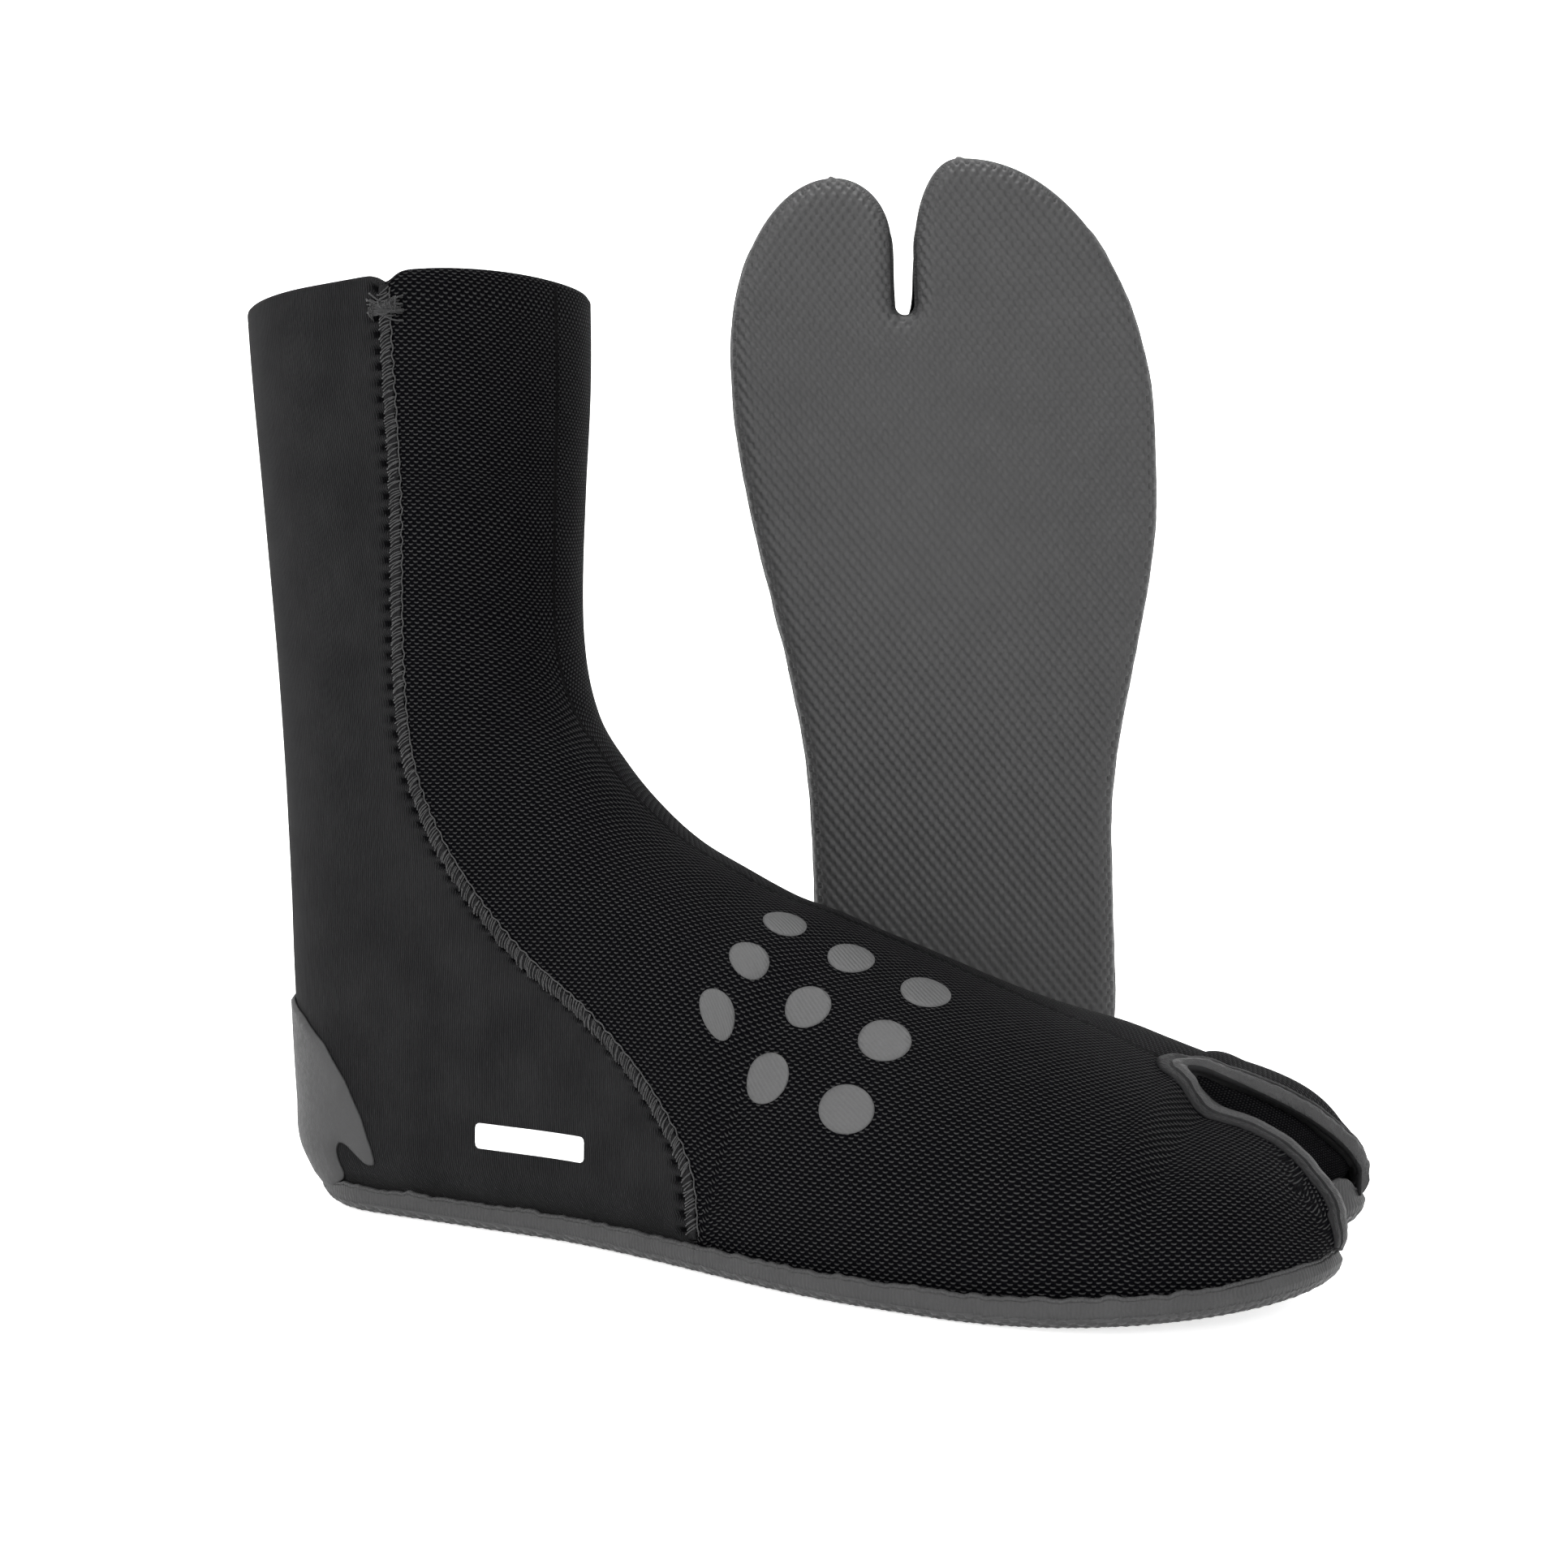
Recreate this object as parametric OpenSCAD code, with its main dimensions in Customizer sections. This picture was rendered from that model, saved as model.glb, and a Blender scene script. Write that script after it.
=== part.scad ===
// Pair of split-toe neoprene water boots. The right boot stands on its sole; the left boot lies on
// the back of its shaft, toes up, with its sole facing outward. Units are millimetres. Every piece
// is drawn with the heel at x = 0, toes toward +x, the foot's inner side at +y and the sole on
// z = 0, then placed: the origin is on the floor under the middle of the right heel. Left pieces
// are mirror images of the right ones.

/* [Foot] */
// Length from heel to the tip of the outer toes
foot_length = 286; // [260:1:310]
// Length from heel to the tip of the big toe
big_toe_tip = 283; // [260:1:310]
// Half width of the heel on the outer side
heel_outer = 43; // [36:0.5:48]
// Half width of the heel on the inner side
heel_inner = 44; // [36:0.5:48]
// Extra half width of the ball on the outer side
ball_outer = 15; // [10:0.5:20]
// Extra half width of the ball on the inner side
ball_inner = 17.5; // [10:0.5:24]
// Offset of the toe split from the middle line
split_y = 11.4; // [6:0.2:14]
// Width of the toe split at the sole
split_gap = 6.4; // [5:0.2:10]
// Distance of the split's upper end from the heel
split_start = 243; // [238:1:248]
// Distance of the split's lower end from the heel
sole_split_start = 243; // [238:1:250]
// Height the outer toes curl up at their tip
lift_outer = 7; // [0:0.5:12]
// Height the big toe curls up at its tip
lift_inner = 13; // [0:0.5:16]

/* [Shaft] */
// Half width of the shaft at the ankle
ankle_half = 36; // [30:0.5:42]
// Half width of the shaft at the rim
rim_half = 41; // [34:0.5:48]

/* [Material] */
// Thickness of the neoprene panels
neoprene = 3; // [2:0.5:5]
// Thickness of the lining
lining = 0.8; // [0.5:0.1:1.5]
// Gap left between glued layers
glue_gap = 0.25; // [0.2:0.05:0.4]
// Clearance between the panels and the lining
lining_gap = 0.5; // [0.3:0.1:0.8]
// Thickness of the sole plate
sole_plate = 3; // [2:0.5:5]
// Height of the rubber edge around the sole
edge_height = 8; // [7:0.5:14]
// Thickness of the rubber edge's wall
edge_wall = 1.6; // [1:0.2:3]
// Radius of the sole's rounded lower edge
edge_round = 6; // [4:0.5:9]
// Width of the tape around the toe split
tape_width = 5; // [3:0.5:8]
// Width of the glued seam ridge
seam_width = 2.8; // [2:0.2:5]

/* [Left boot] */
// Position of the left boot's heel contact, x
left_x = 103.8; // [90:0.1:280]
// Position of the left boot's heel contact, y
left_y = 124.1; // [90:0.1:200]
// Turn of the left boot about the vertical
left_turn = -66.4; // [-90:0.1:0]
// Sideways roll of the left boot on its shaft
left_roll = 2.8; // [-5:0.1:5]

/* [Hidden] */
toe_outer_y = -4.8;
toe_inner_y = 31;
toe_outer_run = 80;
toe_inner_run = 52;
panel_inset = 2.2;
panel_foot = 4;
seam_foot = 144;
heel_centre = 40;
lean = 4.5;
left_lift = 3.52;
slot_half = 3.4;
lift_from = 207;
rim_fall = 0.08;
inner_d = neoprene + lining_gap;
heel_in = 8;
skin = 0.3;
lining_rise = 2.2;

// Stations from the rim to the toe split: seam or sole point x, z, then ridge point x, z.
stations = [
    [47, 243.2, 71.5, 245.6],
    [47.6, 216, 72, 218],
    [47.7, 188, 71.5, 190],
    [47.2, 150, 71.5, 153],
    [50, 121, 77, 133],
    [58, 101, 87.5, 119],
    [71, 84, 98.5, 108],
    [87, 70, 110, 99.5],
    [108, 57, 124, 92.5],
    [127, 42, 138, 86],
    [139.5, 25, 151, 82],
    [144, 4, 163, 77.5],
    [158, 4, 176, 72.7],
    [178, 4, 189, 67.8],
    [199, 4, 204, 62.5],
    [221, 4, 221, 57],
    [232, 4, 232, 52.3],
    [243, 4, 243, 47.4]
];
seam_station = 11;
last_station = len(stations) - 1;
ridge_end = stations[last_station][3];

// ---- numbers ----

function clamp01(q) = max(0, min(1, q));
function ease(q) = let (c = clamp01(q)) c * c * (3 - 2 * c);
function dome(q) = let (c = clamp01(q)) sqrt(1 - (1 - c) * (1 - c));
function mix(a, b, t) = a + (b - a) * t;
function steps(n) = [for (i = [0:n]) i / n];
function backward(v) = [for (i = [len(v) - 1:-1:0]) v[i]];
function pick(i) = stations[max(0, min(last_station, i))];

// Smooth curve through the stations; the seam or sole point never drops below the panel's foot.
function station(t) =
    let (i = min(floor(t), last_station - 1), f = t - i)
    let (a = pick(i - 1), b = pick(i), c = pick(i + 1), d = pick(i + 2))
    let (r = 0.5 * (2 * b + (c - a) * f + (2 * a - 5 * b + 4 * c - d) * f * f
        + (3 * b - a - 3 * c + d) * f * f * f))
    [r[0], max(r[1], panel_foot), r[2], r[3]];

// ---- shape of the boot ----

function outer_half(x) =
    x < foot_length - toe_outer_run
    ? heel_outer + ball_outer * ease((x - 91) / 100)
    : mix(-toe_outer_y, heel_outer + ball_outer, dome((foot_length - x) / toe_outer_run));
function inner_half(x) =
    x < big_toe_tip - toe_inner_run
    ? heel_inner + ball_inner * ease((x - 100) / 128)
    : mix(toe_inner_y, heel_inner + ball_inner, dome((big_toe_tip - x) / toe_inner_run));
function foot_half(x, side) = side < 0 ? outer_half(x) : inner_half(x);
function tip_y(side) = side < 0 ? toe_outer_y : toe_inner_y;
function tip_x(side) = side < 0 ? foot_length : big_toe_tip;

// The toes curl up off the floor, the big toe more than the others.
function toe_lift(x, y) =
    mix(lift_outer, lift_inner, ease(y / 26)) * pow(max(0, min(1.1, (x - lift_from) / 79)), 2);
function lifted(p) = [p[0], p[1], p[2] + toe_lift(p[0], p[1])];
function back_x(z) =
    let (h = max(0, z - 25))
    (heel_in + panel_inset + 0.2) * (1 - ease((z - 6) / 42)) - 2.4 * ease(z / 100)
    - 0.09 * h + 0.00005 * h * h;
function shaft_half(z) = mix(ankle_half, rim_half, ease((z - 140) / 100));
function rounding(z) = mix(33, 43, ease((z - 20) / 120));
function closing(x, z, d) = dome((x - back_x(z) - d) / (rounding(z) - d));

// Half width of the boot wall at a profile point, d inside the outer surface.
function wall(x, z, side, d) =
    let (m = ease((z - 20) / 75) * (1 - ease((x - 70) / 70)))
    max(mix(foot_half(x, side) - panel_inset, shaft_half(z), m) - d, 0.05) * closing(x, z, d);
function crown(v, v0) = let (q = clamp01((v - v0) / (1 - v0))) pow(1 - pow(q, 2.1), 1 / 2.1);
function crown_start(t) = 0.02 + 0.2 * ease((t - 7) / 7);
function ridge_y(x) = split_y * ease((x - 110) / 90);

// The big toe's joint stands a little higher than the middle line.
function joint_rise(x, u, side) =
    side < 0 ? 0 : 3 * pow(sin(180 * clamp01((1 - u) / 0.6)), 2) * ease((x - 185) / 45)
        * (1 - ease((x - split_start) / 30));

// Point of the front panel: t along the stations, u from the seam or sole (0) to the ridge (1).
function front_point(t, u, side, d) =
    let (r = station(t), b = [r[0], r[1]], i = [r[2], r[3]])
    let (run = norm(i - b), v = sin(90 * u))
    let (p = b + (i - b) / run * (run - d) * v, c = crown(v, crown_start(t)))
    [p[0], side * wall(p[0], p[1], side, d) * c + ridge_y(p[0]) * (1 - c),
        p[1] + joint_rise(p[0], u, side)];

// Point of the heel panel: row height from the seam point, u from the back (0) to the seam (1).
function heel_point(t, u, side, d, low, trim) =
    let (r = station(t), z = max(r[1], low), xb = back_x(z) + d)
    let (x = xb + (r[0] - trim - xb) * (1 - cos(90 * u)))
    [x, side * wall(x, z, side, d), z - rim_fall * (r[0] - x) * (1 - ease(t / 2.2))];

// Toe sections: q runs from the split's start (0) to the toe tips (1).
function toe_x(q, side, d) = mix(split_start, tip_x(side) - panel_inset - d, sin(90 * q));
function toe_s(q, side) = mix(split_start, tip_x(side), sin(90 * q));
function toe_top(x, side) =
    let (pocket = side < 0 ? 11 + 30 * dome((foot_length - x) / 58)
        : 11 + 38 * dome((big_toe_tip - x) / 60))
    mix(ridge_end, pocket, ease((x - split_start) / 10));
function slot_edge(x, side) =
    let (run = side < 0 ? 34 : 60)
    let (open = mix(tip_y(side), split_y + side * slot_half, dome((tip_x(side) - x) / run)))
    mix(split_y, open, dome((x - split_start) / 10));
function toe_outer(x, side, d) =
    let (full = (side < 0 ? heel_outer + ball_outer : heel_inner + ball_inner) - side * tip_y(side))
    let (now = foot_half(x, side) - side * tip_y(side))
    tip_y(side) + side * max(0.3, now * (full - panel_inset - d) / full);
function toe_point(q, u, side, d) =
    let (x = toe_s(q, side), b = ease((x - split_start) / 30), over = side < 0 ? 0 : b)
    let (a = min(90, u * (90 + 36 * over)))
    let (beyond = 90 * clamp01((u * (90 + 36 * over) - 90) / max(36 * over, 0.001)))
    let (yo = toe_outer(x, side, d), edge = slot_edge(x, side))
    let (yi = edge + side * min(d * b, 0.45 * abs(yo - edge)))
    let (yc = mix(yi, (yo + yi) / 2, 0.75 * over))
    let (rise = sin(a) - 0.13 * over * (1 - cos(beyond)))
    let (z = panel_foot + (toe_top(x, side) - d - panel_foot) * rise)
    [toe_x(q, side, d), yc + (yo - yc) * crown(sin(a), 0.22) + (yi - yc) * sin(beyond),
        z + joint_rise(x, a / 90, side)];

// Sole outline, walked from the outer seam round the toes and the split to the inner seam.
function arc_steps(n) = [for (i = [0:n]) 90 * i / n];
fore_outline = concat(
    [for (x = [seam_foot:10:foot_length - toe_outer_run - 1]) [x, -outer_half(x)]],
    [for (a = backward(arc_steps(9))) let (x = foot_length - toe_outer_run * (1 - cos(a)))
        [x, -mix(-toe_outer_y, heel_outer + ball_outer, sin(a))]],
    [for (a = [15, 32, 52, 72, 90]) [foot_length - 27 * (1 - cos(a)),
        mix(toe_outer_y, split_y - split_gap / 2, sin(a))]],
    [for (a = [100:32:260]) [sole_split_start + 2.8 + 2.8 * cos(a), split_y - 2.8 * sin(a)]],
    [for (a = [90, 70, 50, 30, 12, 0]) [big_toe_tip - 19 * (1 - cos(a)),
        mix(toe_inner_y, split_y + split_gap / 2, sin(a))]],
    [for (a = [12:13:90]) [big_toe_tip - toe_inner_run * (1 - cos(a)),
        mix(toe_inner_y, heel_inner + ball_inner, sin(a))]],
    [for (x = [big_toe_tip - toe_inner_run - 2:-10.7:seam_foot + 1]) [x, inner_half(x)]],
    [[seam_foot, inner_half(seam_foot)]]
);
heel_outline = concat(
    [for (x = [seam_foot - 0.8:-13:heel_in + 34]) [x, inner_half(x)]],
    [for (a = [90:-12:0]) [heel_in + 33 * (1 - cos(a)), heel_inner * sin(a)]],
    [for (a = [6:12:90]) [heel_in + 33 * (1 - cos(a)), -heel_outer * sin(a)]],
    [for (x = [heel_in + 34:13:seam_foot - 2]) [x, -outer_half(x)]],
    [[seam_foot - 0.8, -outer_half(seam_foot - 0.8)]]
);
function tangent(p, i) = p[min(len(p) - 1, i + 1)] - p[max(0, i - 1)];
function normal(p, i) = let (t = tangent(p, i)) [t[1], -t[0]] / norm(t);
function inset(p, d) = [for (i = [0:len(p) - 1]) p[i] - d * normal(p, i)];

// ---- solid builders ----

function quad(a, b, c, d, flip) = flip ? [[a, c, b], [a, d, c]] : [[a, b, c], [a, c, d]];

// Closed solid between two equal grids of points.
module sheet(outer, inner, flip = false) {
    rows = len(outer);
    cols = len(outer[0]);
    n = rows * cols;
    points = concat([for (r = outer) for (p = r) p], [for (r = inner) for (p = r) p]);
    skins = [for (r = [0:rows - 2]) for (c = [0:cols - 2]) let (k = r * cols + c)
        each concat(quad(k, k + 1, k + cols + 1, k + cols, flip),
            quad(n + k, n + k + cols, n + k + cols + 1, n + k + 1, flip))];
    row_ends = [for (c = [0:cols - 2]) let (k = (rows - 1) * cols + c)
        each concat(quad(c + 1, c, n + c, n + c + 1, flip),
            quad(k, k + 1, n + k + 1, n + k, flip))];
    col_ends = [for (r = [0:rows - 2]) let (k = r * cols, m = k + cols - 1)
        each concat(quad(k, k + cols, n + k + cols, n + k, flip),
            quad(m + cols, m, n + m, n + m + cols, flip))];
    polyhedron([for (p = points) lifted(p)], concat(skins, row_ends, col_ends), convexity = 10);
}

// Closed solid through a row of equal rings of points.
module sweep(rings, flip = false) {
    m = len(rings[0]);
    last = (len(rings) - 1) * m;
    sides = [for (r = [0:len(rings) - 2]) for (c = [0:m - 1]) let (e = (c + 1) % m)
        each quad(r * m + c, r * m + e, r * m + m + e, r * m + m + c, flip)];
    caps = [for (c = [1:m - 2])
        each flip ? [[0, c, c + 1], [last, last + c + 1, last + c]]
        : [[0, c + 1, c], [last, last + c, last + c + 1]]];
    polyhedron([for (r = rings) for (p = r) lifted(p)], concat(sides, caps), convexity = 10);
}

// Closed solid of the front panel: two half grids that share the ridge up to the split.
module forked(outer_grids, inner_grids, shared) {
    rows = len(outer_grids[0]);
    cols = len(outer_grids[0][0]);
    top = cols - 1;
    points = concat([for (r = outer_grids[0]) for (p = r) p], [for (r = inner_grids[0]) for (p = r) p],
        [for (r = outer_grids[1]) for (p = r) p], [for (r = inner_grids[1]) for (p = r) p]);
    at = function(h, l, r, c) ((((h == 1 && c == top && r <= shared) ? 0 : h) * 2 + l) * rows + r)
        * cols + c;
    faces = [for (h = [0, 1]) let (f = h == 1) each concat(
        [for (r = [0:rows - 2]) for (c = [0:cols - 2]) each concat(
            quad(at(h, 0, r, c), at(h, 0, r, c + 1), at(h, 0, r + 1, c + 1), at(h, 0, r + 1, c), f),
            quad(at(h, 1, r, c), at(h, 1, r + 1, c), at(h, 1, r + 1, c + 1), at(h, 1, r, c + 1), f))],
        [for (c = [0:cols - 2]) let (e = rows - 1) each concat(
            quad(at(h, 0, 0, c + 1), at(h, 0, 0, c), at(h, 1, 0, c), at(h, 1, 0, c + 1), f),
            quad(at(h, 0, e, c), at(h, 0, e, c + 1), at(h, 1, e, c + 1), at(h, 1, e, c), f))],
        [for (r = [0:rows - 2])
            each quad(at(h, 0, r, 0), at(h, 0, r + 1, 0), at(h, 1, r + 1, 0), at(h, 1, r, 0), f)],
        [for (r = [shared:rows - 2])
            each quad(at(h, 0, r + 1, top), at(h, 0, r, top), at(h, 1, r, top), at(h, 1, r + 1, top),
                f)])];
    polyhedron([for (p = points) lifted(p)], faces, convexity = 10);
}

// ---- upper ----

function front_half(side, d, cols, per, toe_rows) = concat(
    [for (k = [0:last_station * per]) let (t = k / per, r = station(t))
        let (run = norm([r[2] - r[0], r[3] - r[1]]))
        let (u0 = t < seam_station ? asin(glue_gap / 2 / run) / 90 : 0)
        [for (u = steps(cols)) front_point(t, mix(u0, 1, u), side, d)]],
    [for (k = [0.5, each [1:toe_rows]]) let (q = k / toe_rows)
        [for (u = steps(cols)) toe_point(q, u, side, d)]]
);
module front_layer(d0, d1, cols, per, toe_rows) {
    forked([for (s = [-1, 1]) front_half(s, d0, cols, per, toe_rows)],
        [for (s = [-1, 1]) front_half(s, d1, cols, per, toe_rows)],
        last_station * per);
}
module heel_layer(d0, d1, cols, per, low, trim) {
    u = concat([for (k = [cols:-1:0]) [-1, k / cols]], [for (k = [1:cols]) [1, k / cols]]);
    grids = [for (d = [d0, d1]) [for (k = [0:seam_station * per])
        [for (w = u) heel_point(k / per, w[1], w[0], d, low, trim)]]];
    sheet(grids[0], grids[1], flip = true);
}
module front_panel() {
    color([0.03, 0.03, 0.032]) front_layer(0, neoprene, 8, 2, edge_rows);
}
module heel_panel() {
    color([0.05, 0.05, 0.055]) heel_layer(0, neoprene, 7, 2, panel_foot, glue_gap / 2);
}
// Lowest place of the lining on a front station, as a share of the way to the ridge.
function lining_start(t) = let (r = station(t))
    t < seam_station ? asin(0.4 / norm([r[2] - r[0], r[3] - r[1]])) / 90
    : asin(lining_rise / (r[3] - panel_foot)) / 90;
module front_lining() {
    grids = [for (d = [inner_d, inner_d + lining]) [for (k = [0:last_station * 2 - 1])
        let (t = k / 2, s = lining_start(t))
        concat([for (u = steps(4)) front_point(t, mix(s, 1, u), -1, d)],
            [for (u = backward(steps(4))) front_point(t, mix(s, 1, u * 0.8), 1, d)])]];
    color([0.08, 0.08, 0.085]) sheet(grids[0], grids[1]);
}
module heel_lining() {
    color([0.08, 0.08, 0.085])
        heel_layer(inner_d, inner_d + lining, 7, 2, panel_foot + lining_rise, 0.4);
}

// ---- toe split ----

// Edge of the toe opening, from the outer toes' front round the split's end to the big toe's front;
// w is how far back from the edge, d how deep inside the outer surface.
edge_rows = 9;
edge_steps = [0.5, 1, 2, 3, 4, 5, 6, 7];
function tape_share(k, side) = side < 0 ? mix(0.04, 0.1, k * k / 49) : mix(0.085, 0.24, k / 7);
function edge_half(w, d, side) = [for (k = edge_steps)
    toe_point(k / edge_rows, 1 - w * tape_width / 5 * tape_share(k, side), side, d)];
function edge_ring(w, d) = concat(
    backward(edge_half(w, d, -1)),
    [front_point(last_station - w * tape_width / 11, 1, 1, d)],
    edge_half(w, d, 1)
);
function unit(v) = v / norm(v);

module split_tape() {
    e = edge_ring(0, 0);
    low = [for (w = [1, 0.5]) edge_ring(w, -1.6)];
    high = [for (w = [1, 0.5, 0.1]) edge_ring(w, -2.4)];
    back = edge_ring(0.3, 0);
    under = edge_ring(0, neoprene);
    rings = [for (k = [0:len(e) - 1])
        let (t = unit(e[k] - back[k]), n = unit(e[k] - under[k]))
        [low[0][k], high[0][k], high[1][k], high[2][k] + t * 0.3, e[k] + t * 1.1 + n * 0.4,
            e[k] + t - n * 2.2, e[k] + t * 0.6 - n * 2.2, e[k] + t * 0.6 + n * 0.9,
            low[1][k]]];
    color([0.16, 0.16, 0.165]) sweep(rings, flip = true);
}

function floor_edge(x, side, d) =
    let (e = mix(tip_y(side), split_y + side * split_gap / 2, dome((tip_x(side) - x) / 25)))
    split_y + (e + side * d - split_y) * dome((x - sole_split_start + d) / 5);
function gusset_foot(k, side) =
    let (x = mix(sole_split_start - 3, tip_x(side) - 11, k / 7))
    [x, floor_edge(x, side, 3), sole_plate + 0.4];
module toe_gusset() {
    top = edge_ring(0.05, neoprene + 0.5);
    foot = concat([for (k = backward(edge_steps)) gusset_foot(k, -1)],
        [[sole_split_start - 3, split_y, sole_plate + 0.4]],
        [for (k = edge_steps) gusset_foot(k, 1)]);
    away = function(p, k) [each -normal([for (q = p) [q[0], q[1]]], k), 0];
    rings = [for (k = [0:len(top) - 1])
        [top[k], top[k] + away(top, k) * 1.2, foot[k] + away(foot, k) * 1.2, foot[k]]];
    color([0.03, 0.03, 0.032]) sweep(rings);
}

// ---- sole ----

// Flat slab that follows the curl of the toes.
module slab(low, high) {
    grids = [for (z = [high, low]) [for (x = [-5, each [lift_from:20:lift_from + 80]])
        [for (y = [-70, 0, 13, 26, 75]) [x, y, z]]]];
    sheet(grids[0], grids[1], flip = true);
}
module outsole() {
    color([0.12, 0.12, 0.125]) intersection() {
        slab(0, sole_plate);
        translate([0, 0, -5]) linear_extrude(45)
            polygon(concat(inset(fore_outline, edge_round + 0.25), inset(heel_outline, edge_round + 0.25)));
    }
}
module footbed() {
    color([0.1, 0.1, 0.1]) intersection() {
        slab(sole_plate + 0.25, sole_plate + 2.45);
        linear_extrude(40) offset(delta = -(panel_inset + inner_d + lining + 0.8))
            polygon(concat(fore_outline, heel_outline));
    }
}
function edge_profile(h, wall) = [
    [edge_round, 0], [edge_round * 0.5, 0.8], [edge_round * 0.15, 2.6],
    [0, 5 * h / edge_height], [0.2, h - 0.6], [wall * 0.6, h], [wall, h - 0.5],
    [wall, sole_plate], [edge_round, sole_plate]
];
function edge_rings(path, h, wall) = [for (i = [0:len(path) - 1])
    [for (q = edge_profile(h(path[i]), wall(path[i]))) [each (path[i] - q[0] * normal(path, i)), q[1]]]];
function in_split(p) = p[0] < foot_length - 9 && p[0] > sole_split_start - 4
    && p[1] > toe_outer_y && p[1] < toe_inner_y ? 1 : 0;
module heel_edge() {
    color([0.11, 0.11, 0.115])
        sweep(edge_rings(heel_outline, function(p) edge_height, function(p) edge_wall));
}
module forefoot_edge() {
    h = function(p) in_split(p) == 1 ? 6 : edge_height;
    color([0.11, 0.11, 0.115])
        sweep(edge_rings(fore_outline, h, function(p) mix(edge_wall, 1.2, in_split(p))));
}

// ---- trim ----

// Rubber patch round the back of the heel, widest just above the sole and pointed at the top.
patch_reach = [[8.4, 32], [12, 32], [13.6, 42], [18, 41], [28, 37.5], [38.8, 29.5], [45, 22], [50, 13]];
function patch_point(z, w, d) =
    let (reach = lookup(z, patch_reach), xb = back_x(z) + d, x = xb + (reach - xb) * (1 - cos(90 * abs(w))))
    [x, sign(w) * wall(x, z, sign(w) == 0 ? 1 : sign(w), d), z];
module heel_patch() {
    heights = [8.6, 12, 13.6, 18, 24, 31, 39, 49.5];
    grids = [for (d = [-2.1, -1.4]) [for (z = heights) [for (w = [-1:0.2:1]) patch_point(z, w, d)]]];
    color([0.17, 0.17, 0.175]) sheet(grids[0], grids[1]);
}

// Raised strip of glue and thread that follows a seam.
function seam_strip(side, d) =
    [for (k = [0.1:0.35:seam_station])
        let (r = station(k), n = station(k + 0.1))
        if (r[1] > edge_height + 1)
        let (t = unit([n[0] - r[0], n[1] - r[1]]), across = [t[1], -t[0]])
        [for (w = [-0.5, 0, 0.5]) let (p = [r[0], r[1]] - across * w * seam_width)
            [p[0], side * wall(p[0], p[1], side, d), p[1]]]];
module seam(side) {
    color([0.07, 0.07, 0.072]) sheet(
        seam_strip(side, -1), seam_strip(side, -skin), flip = side > 0);
}
module bartack(side) {
    grids = [for (d = [-1.8, -1.15]) [for (z = [232.5, 234, 235.5]) [for (x = [43, 46, 50, 54])
        [x, side * wall(x, z, side, d), z]]]];
    color([0.04, 0.04, 0.042]) sheet(grids[0], grids[1], flip = side < 0);
}

// Plain round grip dots on the outer side of the instep, in even rows: t and u of each centre.
dot_t = [9.8, 11.3, 12.8];
dot_u = [0.42, 0.62, 0.82];
dot_half_t = 0.42;
dot_half_u = 0.061;
function on_disc(a, b) = a * sqrt(1 - b * b / 2);
module instep_print() {
    color([0.14, 0.14, 0.145]) for (t = dot_t, u = dot_u) {
        grids = [for (d = [-1.2, -0.8]) [for (i = steps(3)) [for (j = steps(3))
            let (a = 2 * i - 1, b = 2 * j - 1)
            front_point(t + dot_half_t * on_disc(a, b), u + dot_half_u * on_disc(b, a), -1, d)]]];
        sheet(grids[0], grids[1]);
    }
}

// Plain rectangular label printed on the outer side of the heel panel.
module label() {
    grids = [for (d = [-1.1, -0.8]) [for (z = [20, 24.5, 29]) [for (x = [74:6.8:108])
        [x, -wall(x, z, -1, d), z]]]];
    color([0.9, 0.9, 0.9]) sheet(grids[0], grids[1], flip = true);
}

// ---- placing ----

module right_boot() {
    translate([-heel_centre, 0, 0]) children();
}
module left_boot() {
    translate([left_x, left_y, left_lift]) rotate([0, 0, left_turn]) rotate([left_roll, 0, 0])
        rotate([0, lean - 90, 0]) translate([0, 0, -25]) mirror([0, 1, 0]) children();
}

module right_outsole() { right_boot() outsole(); }
module right_heel_edge() { right_boot() heel_edge(); }
module right_forefoot_edge() { right_boot() forefoot_edge(); }
module right_heel_patch() { right_boot() heel_patch(); }
module right_heel_panel() { right_boot() heel_panel(); }
module right_front_panel() { right_boot() front_panel(); }
module right_heel_lining() { right_boot() heel_lining(); }
module right_front_lining() { right_boot() front_lining(); }
module right_footbed() { right_boot() footbed(); }
module right_toe_gusset() { right_boot() toe_gusset(); }
module right_split_tape() { right_boot() split_tape(); }
module right_lateral_seam() { right_boot() seam(-1); }
module right_medial_seam() { right_boot() seam(1); }
module right_lateral_bartack() { right_boot() bartack(-1); }
module right_medial_bartack() { right_boot() bartack(1); }
module right_instep_print() { right_boot() instep_print(); }
module right_label() { right_boot() label(); }
module left_outsole() { left_boot() outsole(); }
module left_heel_edge() { left_boot() heel_edge(); }
module left_forefoot_edge() { left_boot() forefoot_edge(); }
module left_heel_patch() { left_boot() heel_patch(); }
module left_heel_panel() { left_boot() heel_panel(); }
module left_front_panel() { left_boot() front_panel(); }
module left_heel_lining() { left_boot() heel_lining(); }
module left_front_lining() { left_boot() front_lining(); }
module left_footbed() { left_boot() footbed(); }
module left_toe_gusset() { left_boot() toe_gusset(); }
module left_split_tape() { left_boot() split_tape(); }
module left_lateral_seam() { left_boot() seam(-1); }
module left_medial_seam() { left_boot() seam(1); }
module left_lateral_bartack() { left_boot() bartack(-1); }
module left_medial_bartack() { left_boot() bartack(1); }
module left_instep_print() { left_boot() instep_print(); }
module left_label() { left_boot() label(); }

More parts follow.
